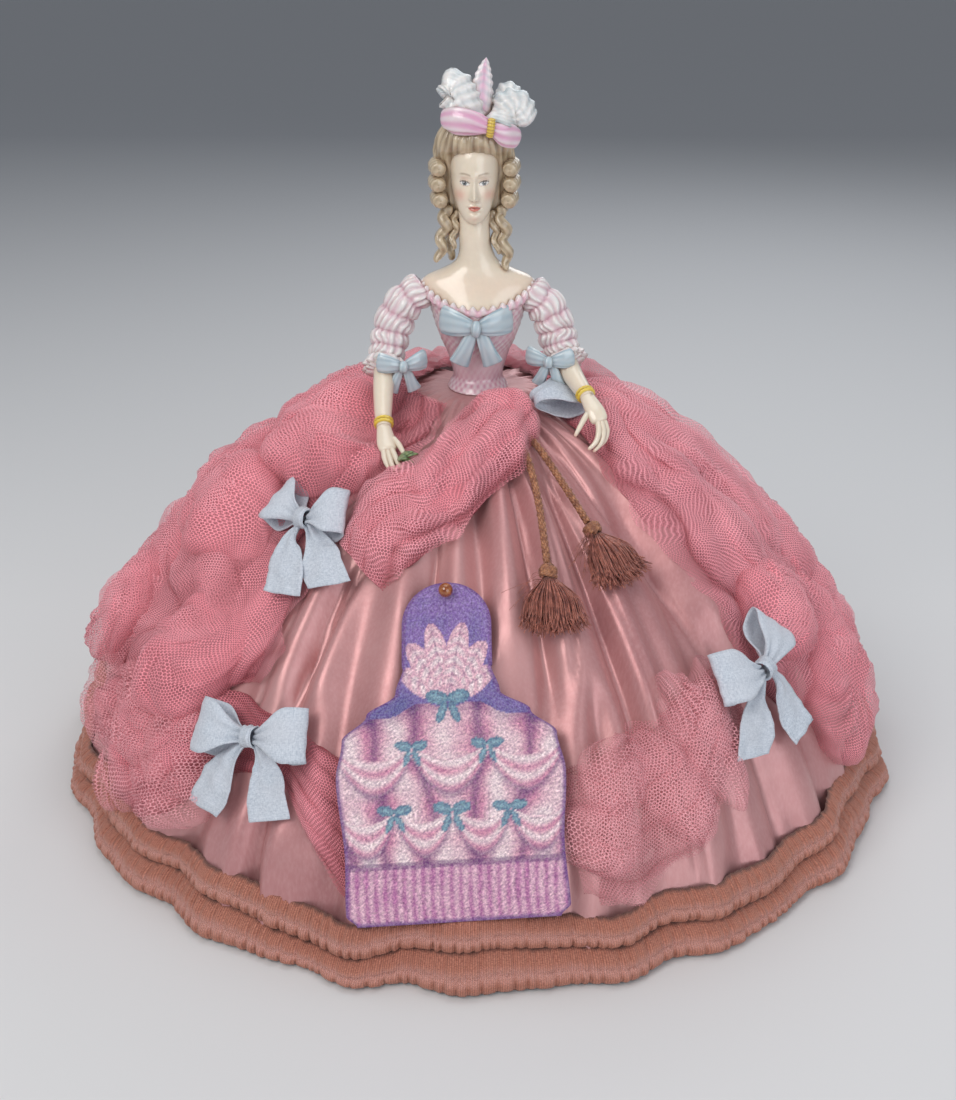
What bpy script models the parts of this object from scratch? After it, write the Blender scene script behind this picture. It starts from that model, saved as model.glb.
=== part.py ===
"""A pincushion doll: a glazed porcelain half figure of a lady, set into a stuffed satin skirt that
is dressed with gathered tulle, chiffon bows, twisted cords with tassels and a ruched hem braid.

Metres, +Z up, origin on the floor under the middle of the skirt, the lady facing -Y.
Places on the skirt are (degrees from the front, positive towards +X; share of the way down the
slope from the waist to the hem).
"""

import math

import bmesh
import bpy
from mathutils import Matrix, Vector
from mathutils.bvhtree import BVHTree

MM = 0.001
SLIVER = 0.00008
FINE_SLIVER = 0.000004

# Skirt: a stuffed dome of satin
SKIRT_HEIGHT = 0.176
SKIRT_RADIUS = 0.187
WAIST_RADIUS = 0.020
DOME_SHOULDER = 1.474  # how late the dome falls away below the waist
DOME_FULLNESS = 0.726  # how square the dome is above the hem
SKIRT_SIDES = 72
SKIRT_RINGS = 7
FOLD_COUNT = 20
FOLD_DEPTH = 0.0032
BACK_FOLD_COUNT = 24  # of the deeper, evener folds behind
BACK_FOLD_DEPTH = 0.0036
BACK_FOLDS_FROM = 95.0  # degrees from the front
CLEARANCE = 0.0003

# Base board under the stuffing
BOARD_INSET = 0.011
BOARD_THICKNESS = 0.004
BOARD_SIDES = 24

# Ruched braid round the hem, in two rows
BRAID_HEIGHT = 0.0140
BRAID_DEPTH = 0.0070
BRAID_FLARE = 0.0030
BRAID_WAVE = 0.0040
PUCKER_DEPTH = 0.0011

# Tulle
TULLE_EDGE = 0.0016
TULLE_ROOT = 0.006
TULLE_BODY = 0.0030  # the height between its puffs
TULLE_GAP = 0.0008

# Chiffon bows
CHIFFON_THICKNESS = 0.0008
LOOP_WIDTH = 0.0195
LOOP_PUFF = 0.0050
TAIL_WIDTH = 0.0155
PINCH = 0.0056
KNOT_WIDTH = 0.0050
KNOT_THICKNESS = 0.0012
KNOT_SLACK = 0.0009

# Cords and tassels
CORD_DIAMETER = 0.003
TASSEL_KNOT_RADIUS = 0.0036
TASSEL_LENGTH = 0.0205
TASSEL_TOP_WIDTH = 0.0062
TASSEL_END_WIDTH = 0.0250
TASSEL_DEPTH = 0.0062
TASSEL_RIBS = 5

# Picture card and its pin
CARD_WIDTH = 0.088
CARD_HEIGHT = 0.131
CARD_NECK_SHARE = 0.40  # of the card's width
CARD_THICKNESS = 0.0014
CARD_PLACE = (-4.2, 0.640)
CARD_TILT = 5.0
PIN_DIAMETER = 0.0008
PIN_LENGTH = 0.030
PIN_HOLE_DIAMETER = 0.0014
PIN_HEAD_DIAMETER = 0.0058
PIN_INSET = 0.0045  # from the card's top edge

# Porcelain figure
PLUG_RADIUS = 0.0105
PLUG_DEPTH = 0.010
PLUG_SIDES = 16
SLEEVE_TIERS = 5
HEAD_OFFSET = -1.5  # in millimetres: the head leans a little to her right
NECK_HEIGHT = 50  # in millimetres over the waist

SATIN, PORCELAIN, TULLE, CHIFFON = "satin", "porcelain", "tulle", "chiffon"
BRAID, CORD, CARD, AMBER, STEEL, BOARD = "braid", "cord", "card", "amber", "steel", "board"
FINISHES = {
    SATIN: ((0.62, 0.33, 0.34), 0.35, 0.0),
    PORCELAIN: ((0.84, 0.74, 0.68), 0.12, 0.0),
    TULLE: ((0.80, 0.30, 0.34), 0.85, 0.0),
    CHIFFON: ((0.48, 0.53, 0.60), 0.8, 0.0),
    BRAID: ((0.42, 0.15, 0.11), 0.6, 0.0),
    CORD: ((0.33, 0.13, 0.08), 0.55, 0.0),
    CARD: ((0.48, 0.32, 0.50), 0.7, 0.0),
    AMBER: ((0.45, 0.13, 0.02), 0.08, 0.0),
    STEEL: ((0.62, 0.62, 0.63), 0.25, 1.0),
    BOARD: ((0.28, 0.21, 0.16), 0.9, 0.0),
}


# Scene and objects


def clear_scene():
    for item in list(bpy.data.objects):
        bpy.data.objects.remove(item, do_unlink=True)


def collection(name):
    made = bpy.data.collections.new(name)
    bpy.context.scene.collection.children.link(made)
    return made


def finish(name):
    """The Principled BSDF of one finish, made once."""
    found = bpy.data.materials.get(name)
    if found:
        return found
    colour, roughness, metallic = FINISHES[name]
    made = bpy.data.materials.new(name)
    made.use_nodes = True
    shader = made.node_tree.nodes["Principled BSDF"]
    shader.inputs["Base Color"].default_value = (*colour, 1.0)
    shader.inputs["Roughness"].default_value = roughness
    shader.inputs["Metallic"].default_value = metallic
    made.diffuse_color = (*colour, 1.0)
    return made


def add_object(name, mesh, material):
    made = bpy.data.objects.new(name, mesh)
    PARTS.objects.link(made)
    mesh.materials.clear()
    mesh.materials.append(finish(material))
    return made


def take_primitive(name, material):
    """The primitive that an operator has just added, moved to the parts with its place applied."""
    made = bpy.context.active_object
    made.data.transform(made.matrix_world)
    made.matrix_world.identity()
    made.name = name
    for group in list(made.users_collection):
        group.objects.unlink(made)
    PARTS.objects.link(made)
    made.data.materials.append(finish(material))
    return made


def evaluated_mesh(item):
    graph = bpy.context.evaluated_depsgraph_get()
    return bpy.data.meshes.new_from_object(item.evaluated_get(graph))


def combine(target, other, operation, solver="EXACT"):
    """Joins or cuts the target by the other object."""
    modifier = target.modifiers.new("combine", "BOOLEAN")
    modifier.operation = operation
    modifier.solver = solver
    modifier.object = other
    target.data = evaluated_mesh(target)
    target.modifiers.clear()
    return target


def fuse(name, pieces, material):
    """One solid from many that overlap, with the pockets shut in between them filled.

    The exact solver loses pieces where so many meet, so these joins take the manifold one."""
    target = pieces[0]
    for other in pieces[1:]:
        combine(target, other, "UNION", "MANIFOLD")
        bpy.data.objects.remove(other, do_unlink=True)
    keep_largest(target)
    even_out(target, FINE_SLIVER, 0.05)
    target.name = name
    target.data.materials.clear()
    target.data.materials.append(finish(material))
    return target


def to_cutters(item):
    for group in list(item.users_collection):
        group.objects.unlink(item)
    CUTTERS.objects.link(item)
    item.hide_render = True
    item.display_type = "WIRE"
    return item


def swollen(item, by):
    """A copy grown along its normals, to cut a neighbour with a gap."""
    copy = bpy.data.objects.new(item.name + "_swollen", evaluated_mesh(item))
    CUTTERS.objects.link(copy)
    copy.hide_render = True
    copy.display_type = "WIRE"
    normals = [vertex.normal.copy() for vertex in copy.data.vertices]
    for vertex, normal in zip(copy.data.vertices, normals):
        vertex.co += normal * by
    return copy


def keep_largest(item):
    """Drops every surface that isn't joined to the largest: loose offcuts and shut pockets."""
    shape = bmesh.new()
    shape.from_mesh(item.data)
    left = set(shape.verts)
    islands = []
    while left:
        edge_of_search = [left.pop()]
        island = set(edge_of_search)
        while edge_of_search:
            for edge in edge_of_search.pop().link_edges:
                for vertex in edge.verts:
                    if vertex in left:
                        left.discard(vertex)
                        island.add(vertex)
                        edge_of_search.append(vertex)
        islands.append(island)
    islands.sort(key=len)
    for island in islands[:-1]:
        bmesh.ops.delete(shape, geom=list(island), context="VERTS")
    shape.to_mesh(item.data)
    shape.free()


def even_out(item, sliver=SLIVER, flat=0.3):
    """Takes out the slivers that a cut leaves, and the splits of flat faces, in degrees."""
    shape = bmesh.new()
    shape.from_mesh(item.data)
    bmesh.ops.remove_doubles(shape, verts=shape.verts, dist=sliver)
    bmesh.ops.dissolve_limit(shape, angle_limit=math.radians(flat), verts=shape.verts, edges=shape.edges)
    bmesh.ops.triangulate(shape, faces=shape.faces, quad_method="BEAUTY", ngon_method="BEAUTY")
    shape.to_mesh(item.data)
    shape.free()


def cut(item, cutters):
    for cutter in cutters:
        combine(item, cutter, "DIFFERENCE")
    keep_largest(item)
    even_out(item)
    return item


def drill(item, start, axis, diameter, length, sides=8):
    """A round hole from a point along an axis."""
    bpy.ops.mesh.primitive_cylinder_add(vertices=sides, radius=diameter / 2, depth=length)
    bit = to_cutters(take_primitive("drill", STEEL))
    turn = axis.to_track_quat("Z", "Y").to_matrix().to_4x4()
    bit.data.transform(Matrix.Translation(start + axis * (length / 2)) @ turn)
    combine(item, bit, "DIFFERENCE")
    bpy.data.objects.remove(bit, do_unlink=True)


def smooth(item, degrees=40):
    item.data.shade_smooth()
    item.data.set_sharp_from_angle(angle=math.radians(degrees))
    return item


# Lofts and curves


def loft(name, rings, material, closed=False):
    """A skin over rings of equally many points, capped at both ends unless it runs round."""
    shape = bmesh.new()
    rows = [[shape.verts.new(point) for point in ring] for ring in rings]
    pairs = list(zip(rows, rows[1:]))
    if closed:
        pairs.append((rows[-1], rows[0]))
    for low, high in pairs:
        for i in range(len(low)):
            j = (i + 1) % len(low)
            shape.faces.new((low[i], low[j], high[j], high[i]))
    if not closed:
        shape.faces.new(list(reversed(rows[0])))
        shape.faces.new(rows[-1])
    bmesh.ops.recalc_face_normals(shape, faces=shape.faces)
    mesh = bpy.data.meshes.new(name)
    shape.to_mesh(mesh)
    shape.free()
    return add_object(name, mesh, material)


def along(points, count):
    """Points spaced along a smooth curve through the given ones (Catmull-Rom)."""
    found = []
    last = len(points) - 1
    for k in range(count + 1):
        place = last * k / count
        i = min(int(place), last - 1)
        t = place - i
        before, start, end, after = (Vector(points[max(0, min(last, i + d))]) for d in (-1, 0, 1, 2))
        rise = (end - before) * t
        bend = (2 * before - 5 * start + 4 * end - after) * t**2
        turn = (3 * start - before - 3 * end + after) * t**3
        found.append((2 * start + rise + bend + turn) / 2)
    return found


def ease(t):
    t = max(0.0, min(1.0, t))
    return t * t * (3 - 2 * t)


# The dome that everything is laid on


def dome_radius(height):
    share = max(0.0, 1 - (max(height, 0.0) / SKIRT_HEIGHT) ** DOME_SHOULDER)
    return WAIST_RADIUS + (SKIRT_RADIUS - WAIST_RADIUS) * share**DOME_FULLNESS


def slope_table(steps=600):
    """(length walked, height) at many heights down the slope, from the waist to the board's top."""
    bottom = BOARD_THICKNESS + CLEARANCE
    table = [(0.0, SKIRT_HEIGHT)]
    for k in range(1, steps + 1):
        height = SKIRT_HEIGHT - (SKIRT_HEIGHT - bottom) * (k / steps) ** 2
        walked, above = table[-1]
        step = math.hypot(dome_radius(height) - dome_radius(above), above - height)
        table.append((walked + step, height))
    return table


def height_at(share):
    """The height that lies a share of the way down the slope."""
    want = max(0.0, min(1.0, share)) * SLOPE[-1][0]
    for (before, high), (after, low) in zip(SLOPE, SLOPE[1:]):
        if after >= want:
            return high + (low - high) * (want - before) / (after - before)
    return SLOPE[-1][1]


def dome_fold(angle, height):
    """How far the satin's folds stand out at an angle in radians: none at the waist, full below."""
    spread = ease((dome_radius(height) - WAIST_RADIUS) / (2.4 * WAIST_RADIUS))
    wide = math.cos(FOLD_COUNT * angle + 1.2 * math.sin(3 * angle))
    narrow = math.cos(round(1.6 * FOLD_COUNT) * angle + 2.0 + 0.8 * math.sin(2 * angle))
    behind = ease((abs(math.degrees(math.remainder(angle, 2 * math.pi))) - BACK_FOLDS_FROM) / 15)
    front = FOLD_DEPTH * (0.62 * wide + 0.38 * narrow) * (1 - 0.75 * behind)
    back = BACK_FOLD_DEPTH * math.cos(BACK_FOLD_COUNT * angle) * behind
    return spread * (front + back)


def dome_normal(angle, height):
    step = 0.0005
    fall = (dome_radius(height - step) - dome_radius(min(height + step, SKIRT_HEIGHT))) / (2 * step)
    return Vector((math.sin(angle), -math.cos(angle), fall)).normalized()


def dome_point(azimuth, share, lift=0.0):
    """A point over the folded satin."""
    angle = math.radians(azimuth)
    height = height_at(share)
    radius = dome_radius(height) + dome_fold(angle, height)
    foot = Vector((radius * math.sin(angle), -radius * math.cos(angle), height))
    return foot + dome_normal(angle, height) * lift


class Patch:
    """A place on the dome with its own right, up and out, in which flat things are laid out."""

    def __init__(self, place, tilt=0.0):
        self.azimuth, self.share = place
        self.tilt = math.radians(tilt)
        self.out = dome_normal(math.radians(self.azimuth), height_at(self.share))

    def walked(self, right, up):
        """The angle in radians and the height reached by walking on the smooth dome."""
        turned_right = right * math.cos(self.tilt) - up * math.sin(self.tilt)
        turned_up = right * math.sin(self.tilt) + up * math.cos(self.tilt)
        middle = self.share - turned_up / SLOPE[-1][0] / 2
        share = self.share - turned_up / SLOPE[-1][0]
        angle = math.radians(self.azimuth) + turned_right / dome_radius(height_at(middle))
        return angle, height_at(share)

    def point(self, right, up, out):
        angle, height = self.walked(right, up)
        radius = dome_radius(height) + FOLD_DEPTH
        foot = Vector((radius * math.sin(angle), -radius * math.cos(angle), height))
        return foot + dome_normal(angle, height) * out


def tree_of(items, shift=Vector((0, 0, 0))):
    """A search tree over the faces of several objects, and their points."""
    points, faces = [], []
    for item in items:
        first = len(points)
        points += [vertex.co + shift for vertex in item.data.vertices]
        faces += [[first + i for i in face.vertices] for face in item.data.polygons]
    return BVHTree.FromPolygons(points, faces), points


def settle(items, supports, inward, gap):
    """Moves pieces inward together until they lie a small gap above what holds them."""
    reach = 0.04
    carrier, carrier_points = tree_of(supports)
    moved, moved_points = tree_of(items)
    gaps = []
    for point in moved_points:
        found = carrier.ray_cast(point - inward * reach, inward, 2 * reach)
        if found[0] is not None:
            gaps.append(found[3] - reach)
    for point in carrier_points:
        found = moved.ray_cast(point + inward * reach, -inward, 2 * reach)
        if found[0] is not None:
            gaps.append(found[3] - reach)
    shift = inward * (min(gaps) - gap)
    while carrier.overlap(tree_of(items, shift + inward * gap / 2)[0]):
        shift -= inward * gap / 2
    for item in items:
        item.data.transform(Matrix.Translation(shift))
    return shift


# Skirt and hem


def base_board():
    radius = SKIRT_RADIUS - BOARD_INSET
    place = (0, 0, BOARD_THICKNESS / 2)
    bpy.ops.mesh.primitive_cylinder_add(
        vertices=BOARD_SIDES, radius=radius, depth=BOARD_THICKNESS, location=place
    )
    return smooth(take_primitive("base_board", BOARD))


def satin_skirt():
    """A turned dome, its wall folded, with a seat sunk in its top for the figure's plug."""
    bottom = BOARD_THICKNESS + CLEARANCE
    profile = [(0.0, SKIRT_HEIGHT)]
    for k in range(SKIRT_RINGS + 1):
        height = height_at(k / SKIRT_RINGS)
        profile.append((dome_radius(height), height))
    profile += [(SKIRT_RADIUS - BOARD_INSET / 2, bottom), (0.0, bottom)]
    mesh = bpy.data.meshes.new("satin_skirt")
    edges = [(i, i + 1) for i in range(len(profile) - 1)]
    mesh.from_pydata([(radius, 0, height) for radius, height in profile], edges, [])
    skirt = add_object("satin_skirt", mesh, SATIN)
    screw = skirt.modifiers.new("turn", "SCREW")
    screw.steps = SKIRT_SIDES
    screw.render_steps = SKIRT_SIDES
    screw.use_merge_vertices = True
    screw.merge_threshold = 0.00001
    skirt.data = evaluated_mesh(skirt)
    skirt.modifiers.clear()
    for vertex in skirt.data.vertices:
        radius = math.hypot(vertex.co.x, vertex.co.y)
        if radius < WAIST_RADIUS + CLEARANCE or radius < dome_radius(vertex.co.z) - CLEARANCE:
            continue
        grown = 1 + dome_fold(math.atan2(vertex.co.x, -vertex.co.y), vertex.co.z) / radius
        vertex.co.x *= grown
        vertex.co.y *= grown
    top = Vector((0, 0, SKIRT_HEIGHT + PLUG_DEPTH))
    seat_width = 2 * (PLUG_RADIUS + CLEARANCE)
    drill(skirt, top, Vector((0, 0, -1)), seat_width, 2 * PLUG_DEPTH + CLEARANCE, PLUG_SIDES)
    skirt.data.materials.clear()
    skirt.data.materials.append(finish(SATIN))
    even_out(skirt)
    return smooth(skirt, 50)


def braid_wave(angle):
    return BRAID_WAVE * (0.6 * math.sin(7 * angle + 0.7) + 0.4 * math.sin(12 * angle + 2.1))


def braid_row(name, low_edge, high_edge, flare):
    """A puffed row round the hem between two edges, each a height at an angle. Every other facet
    of the satin behind it carries a pucker."""
    rings = []
    for i in range(SKIRT_SIDES):
        turn = i / SKIRT_SIDES
        angle = 2 * math.pi * turn
        low, high = low_edge(angle), high_edge(angle)
        pucker = PUCKER_DEPTH * (1 if i % 2 else -1)
        out = Vector((math.sin(angle), -math.cos(angle), 0))
        ring = []
        for depth, level in ((0.0, 0.0), (0.0, 1.0), (0.9, 0.78), (1.0, 0.12)):
            height = low + (high - low) * level
            satin = dome_radius(height) + dome_fold(angle, height) + 2 * CLEARANCE
            bulge = (BRAID_DEPTH + pucker + flare * (1 - level)) * depth
            ring.append(out * (satin + bulge) + Vector((0, 0, height)))
        rings.append(ring)
    return smooth(loft(name, rings, BRAID, closed=True), 60)


def hem():
    """The lower row stands on the floor. The upper one rides its wavy top edge."""

    def seam(angle):
        return BRAID_HEIGHT + braid_wave(angle)

    lower = braid_row("hem_braid_lower", lambda angle: CLEARANCE, seam, BRAID_FLARE)
    upper = braid_row(
        "hem_braid_upper",
        lambda angle: seam(angle) + CLEARANCE,
        lambda angle: seam(angle) + BRAID_HEIGHT * 0.86 + 0.3 * braid_wave(angle + 0.4),
        0.0,
    )
    return [lower, upper]


# Tulle: each length is laid between two edges, puffed up between them and cut to the satin below

# Each row is an outer place and an inner place, from where the length starts
SASH = (
    ((2, 0.03), (52, 0.03)),
    ((-13, 0.05), (45, 0.06)),
    ((-18, 0.12), (25, 0.13)),
    ((-23, 0.17), (9, 0.20)),
    ((-29, 0.21), (-2, 0.26)),
    ((-36, 0.24), (-11, 0.32)),
    ((-39, 0.28), (-18, 0.37)),
    ((-38, 0.33), (-22, 0.41)),
)
DRAPE_LEFT = (
    ((-95, 0.03), (-34, 0.03)),
    ((-108, 0.11), (-30, 0.10)),
    ((-114, 0.24), (-33, 0.18)),
    ((-110, 0.38), (-45, 0.27)),
    ((-104, 0.52), (-49, 0.36)),
    ((-99, 0.65), (-44, 0.46)),
    ((-95, 0.76), (-40, 0.55)),
    ((-90, 0.86), (-42, 0.63)),
)
SWAG_LEFT = (
    ((-84, 0.84), (-55, 0.93)),
    ((-68, 0.75), (-48, 0.87)),
    ((-55, 0.68), (-41, 0.79)),
    ((-42, 0.645), (-34, 0.74)),
    ((-31, 0.645), (-26, 0.77)),
    ((-23, 0.68), (-21, 0.84)),
    ((-17, 0.71), (-16, 0.88)),
)
DRAPE_RIGHT = (
    ((106, 0.03), (74, 0.03)),
    ((113, 0.14), (58, 0.12)),
    ((114, 0.28), (50, 0.22)),
    ((109, 0.41), (48, 0.33)),
    ((103, 0.55), (50, 0.45)),
    ((97, 0.70), (51, 0.54)),
    ((92, 0.82), (51, 0.63)),
    ((86, 0.91), (53, 0.72)),
)
SWAG_RIGHT = (
    ((47, 0.61), (46, 0.72)),
    ((38, 0.61), (40, 0.74)),
    ((31, 0.63), (34, 0.79)),
    ((24, 0.66), (28, 0.85)),
    ((17, 0.68), (20, 0.89)),
    ((11, 0.70), (13, 0.88)),
)
DRAPE_BACK = (
    ((112, 0.03), (110, 0.40)),
    ((135, 0.03), (135, 0.47)),
    ((160, 0.03), (158, 0.44)),
    ((180, 0.03), (180, 0.48)),
    ((205, 0.03), (203, 0.44)),
    ((228, 0.03), (226, 0.47)),
    ((250, 0.03), (248, 0.41)),
)
# Puffs of each length: azimuth, share, reach across, reach down, turn in degrees, height
SASH_PUFFS = (
    (24, 0.05, 0.017, 0.017, 0, 0.0100),
    (12, 0.13, 0.020, 0.017, 20, 0.0105),
    (-9, 0.17, 0.021, 0.017, 30, 0.0100),
    (-26, 0.23, 0.021, 0.017, 25, 0.0095),
    (-21, 0.33, 0.024, 0.018, 15, 0.0100),
)
DRAPE_LEFT_PUFFS = (
    (-52, 0.20, 0.018, 0.020, 0, 0.0085),
    (-73, 0.21, 0.030, 0.026, -10, 0.0140),
    (-102, 0.20, 0.032, 0.028, 10, 0.0120),
    (-77, 0.41, 0.034, 0.024, -8, 0.0155),
    (-103, 0.42, 0.026, 0.028, 0, 0.0130),
    (-57, 0.49, 0.022, 0.024, 0, 0.0100),
    (-87, 0.55, 0.026, 0.018, -20, 0.0120),
    (-80, 0.69, 0.024, 0.027, 0, 0.0150),
    (-97, 0.68, 0.020, 0.030, 0, 0.0110),
    (-54, 0.63, 0.024, 0.025, 0, 0.0115),
    (-46, 0.53, 0.012, 0.030, 0, 0.0085),
)
SWAG_LEFT_PUFFS = (
    (-73, 0.80, 0.028, 0.014, -20, 0.0105),
    (-59, 0.77, 0.026, 0.014, -20, 0.0105),
    (-62, 0.86, 0.030, 0.013, -15, 0.0095),
    (-47, 0.76, 0.018, 0.018, -10, 0.0095),
    (-46, 0.84, 0.022, 0.013, 0, 0.0085),
    (-23, 0.76, 0.013, 0.026, 0, 0.0065),
)
DRAPE_RIGHT_PUFFS = (
    (75, 0.17, 0.022, 0.024, 20, 0.0105),
    (64, 0.38, 0.014, 0.056, 0, 0.0125),
    (54, 0.33, 0.012, 0.046, 6, 0.0090),
    (84, 0.38, 0.020, 0.052, 0, 0.0135),
    (102, 0.33, 0.022, 0.056, 0, 0.0115),
    (63, 0.59, 0.021, 0.021, 10, 0.0140),
    (88, 0.57, 0.022, 0.022, 0, 0.0125),
    (74, 0.66, 0.016, 0.020, 0, 0.0110),
    (87, 0.72, 0.020, 0.022, 0, 0.0120),
    (69, 0.78, 0.032, 0.026, 20, 0.0130),
    (101, 0.62, 0.024, 0.026, 0, 0.0110),
    (90, 0.85, 0.020, 0.014, 0, 0.0085),
)
SWAG_RIGHT_PUFFS = (
    (40, 0.66, 0.013, 0.020, 0, 0.0075),
    (34, 0.69, 0.011, 0.030, 15, 0.0090),
    (27, 0.75, 0.013, 0.022, 25, 0.0080),
    (19, 0.71, 0.014, 0.015, 0, 0.0085),
    (16, 0.79, 0.016, 0.014, 0, 0.0075),
)
DRAPE_BACK_PUFFS = (
    (119.5, 0.21, 0.0140, 0.048, 3, 0.0110),
    (135.0, 0.25, 0.0140, 0.056, -3, 0.0125),
    (152.0, 0.22, 0.0145, 0.050, 3, 0.0110),
    (167.0, 0.24, 0.0130, 0.054, 0, 0.0120),
    (181.0, 0.25, 0.0130, 0.056, 0, 0.0130),
    (196.5, 0.23, 0.0140, 0.052, 2, 0.0110),
    (213.0, 0.23, 0.0140, 0.050, -2, 0.0120),
    (228.0, 0.25, 0.0140, 0.056, 0, 0.0110),
    (243.0, 0.21, 0.0135, 0.046, 3, 0.0105),
)
# Name, edges, puffs, and steps along and across
TULLE_LENGTHS = (
    ("tulle_sash", SASH, SASH_PUFFS, 10, 6),
    ("tulle_drape_left", DRAPE_LEFT, DRAPE_LEFT_PUFFS, 12, 6),
    ("tulle_swag_left", SWAG_LEFT, SWAG_LEFT_PUFFS, 9, 4),
    ("tulle_drape_right", DRAPE_RIGHT, DRAPE_RIGHT_PUFFS, 12, 6),
    ("tulle_swag_right", SWAG_RIGHT, SWAG_RIGHT_PUFFS, 9, 4),
    ("tulle_drape_back", DRAPE_BACK, DRAPE_BACK_PUFFS, 18, 3),
)
# Where the figure's right arm presses the tulle down: azimuth, share, and its reach in each
ARM_HOLLOW = (-50, 0.12, 20, 0.09)


def under_arm(place):
    """How far the tulle is pressed down below the figure's right arm."""
    azimuth, share, wide, high = ARM_HOLLOW
    return 0.95 * math.exp(-(((place.x - azimuth) / wide) ** 2) - ((place.y - share) / high) ** 2)


def puff_height(place, puffs):
    """The height of the tallest puff over a place."""
    found = TULLE_BODY
    for azimuth, share, reach_across, reach_down, turn, height in puffs:
        radius = dome_radius(height_at((place.y + share) / 2))
        right = math.radians(math.remainder(place.x - azimuth, 360)) * radius
        up = (share - place.y) * SLOPE[-1][0]
        turn = math.radians(turn)
        along_it = (right * math.cos(turn) + up * math.sin(turn)) / reach_across
        over_it = (up * math.cos(turn) - right * math.sin(turn)) / reach_down
        inside = 1 - along_it**2 - over_it**2
        if inside > 0:
            found = max(found, TULLE_BODY + (height - TULLE_BODY) * inside**0.6)
    return found


def tulle(name, edges, puffs, steps_along, steps_across):
    outer = along([edge[0] for edge in edges], steps_along)
    inner = along([edge[1] for edge in edges], steps_along)
    rings = []
    for i, (start, end) in enumerate(zip(outer, inner)):
        u = i / steps_along
        calm = ease(6 * u) * ease(6 * (1 - u)) * 0.6 + 0.4
        ring = []
        for j in range(steps_across + 1):
            place = start.lerp(end, j / steps_across)
            inside = 0 < j < steps_across
            rise = puff_height(place, puffs) * calm * (1 - under_arm(place)) if inside else 0.0
            ring.append(dome_point(place.x, place.y, TULLE_EDGE + rise))
        ring.append(dome_point(end.x, end.y, -TULLE_ROOT))
        ring.append(dome_point(start.x, start.y, -TULLE_ROOT))
        rings.append(ring)
    return smooth(loft(name, rings, TULLE), 60)


# Chiffon bows


def ribbon(name, path, wide, half_widths, patch, closed):
    """A flat strip along a path of (right, up, out), laid in the patch's frame.

    'wide' gives each place's direction across the strip."""
    rings = []
    last = len(path) - 1
    for i, (middle, across, half) in enumerate(zip(path, wide, half_widths)):
        before = path[(i - 1) % len(path)] if closed else path[max(0, i - 1)]
        after = path[(i + 1) % len(path)] if closed else path[min(last, i + 1)]
        face = (after - before).cross(across).normalized() * (CHIFFON_THICKNESS / 2)
        corners = (across * half + face, -across * half + face, -across * half - face, across * half - face)
        rings.append([patch.point(*(middle + corner)) for corner in corners])
    return smooth(loft(name, rings, CHIFFON, closed), 50)


def bow(name, place, left, right, tail_left, tail_right):
    """Two loops, a pair of tails behind them and a knot round their middles.

    The four arms are (right, up) in metres from the knot."""
    patch = Patch(place)
    arms = [Vector((*arm, 0)) for arm in (left, right, tail_left, tail_right)]
    left, right, tail_left, tail_right = arms
    course = (right - left).normalized()
    rise = Vector((-course.y, course.x, 0))
    half_ply = CHIFFON_THICKNESS / 2
    layer = CHIFFON_THICKNESS + CLEARANCE
    tails_out = KNOT_THICKNESS + CLEARANCE + half_ply
    back_out = tails_out + layer
    front_out = back_out + layer
    middle_out = (back_out + front_out) / 2
    step_aside = course * (KNOT_WIDTH / 2 + CLEARANCE)

    count = 16
    path, wide, halves = [], [], []
    for i in range(count):
        turn = 2 * math.pi * (i + 0.5) / count
        reach = abs(math.cos(turn))
        side = 1 if math.cos(turn) > 0 else -1
        arm = right if side > 0 else left
        puff = LOOP_PUFF * ease(1.3 * reach - 0.2) if math.sin(turn) > 0 else 0.0
        out = middle_out + math.sin(turn) * ((front_out - back_out) / 2 + puff)
        inside = min(1, reach / 0.15)
        outside = max(0, (reach - 0.15) / 0.85)
        path.append(step_aside * side * inside + (arm - step_aside * side) * outside + Vector((0, 0, out)))
        across = Vector((-arm.y, arm.x, 0)).normalized() * side
        wide.append(across.lerp(rise, 1 - ease(3 * reach - 0.4)).normalized())
        halves.append((PINCH + (LOOP_WIDTH - PINCH) * ease(1.3 * reach - 0.15)) / 2)
    loops = ribbon(name + "_loops", path, wide, halves, patch, closed=True)

    count = 5
    step_aside = course * (KNOT_WIDTH / 2 + KNOT_SLACK)
    path, wide, halves = [], [], []
    for i in range(-count, count + 1):
        side = 1 if i > 0 else -1
        arm = (tail_right if i > 0 else tail_left) - step_aside * side
        fall = max(0.0, (abs(i) - 1) / (count - 1))
        heading = (arm * side).normalized().lerp(course, 1 - ease(2.5 * fall)).normalized()
        ripple = 0.0007 * math.sin(9 * fall) * ease(2 * fall - 0.8)
        out = tails_out - (tails_out - half_ply - CLEARANCE - 0.0008) * ease(1.5 * fall) + ripple
        splay = course * side * 0.14 * TAIL_WIDTH * math.sin(math.pi * min(1.0, 2 * fall))
        path.append(step_aside * min(1, abs(i)) * side + arm * fall + splay + Vector((0, 0, out)))
        wide.append(Vector((-heading.y, heading.x, 0)))
        halves.append((PINCH + (TAIL_WIDTH - PINCH) * fall) / 2)
    tails = ribbon(name + "_tails", path, wide, halves, patch, closed=False)

    inner_low = tails_out - half_ply - CLEARANCE
    inner_high = front_out + half_ply + KNOT_SLACK
    knot = knot_band(name + "_knot", patch, course, rise, PINCH / 2 + CLEARANCE, inner_low, inner_high)
    return [loops, tails, knot]


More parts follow.
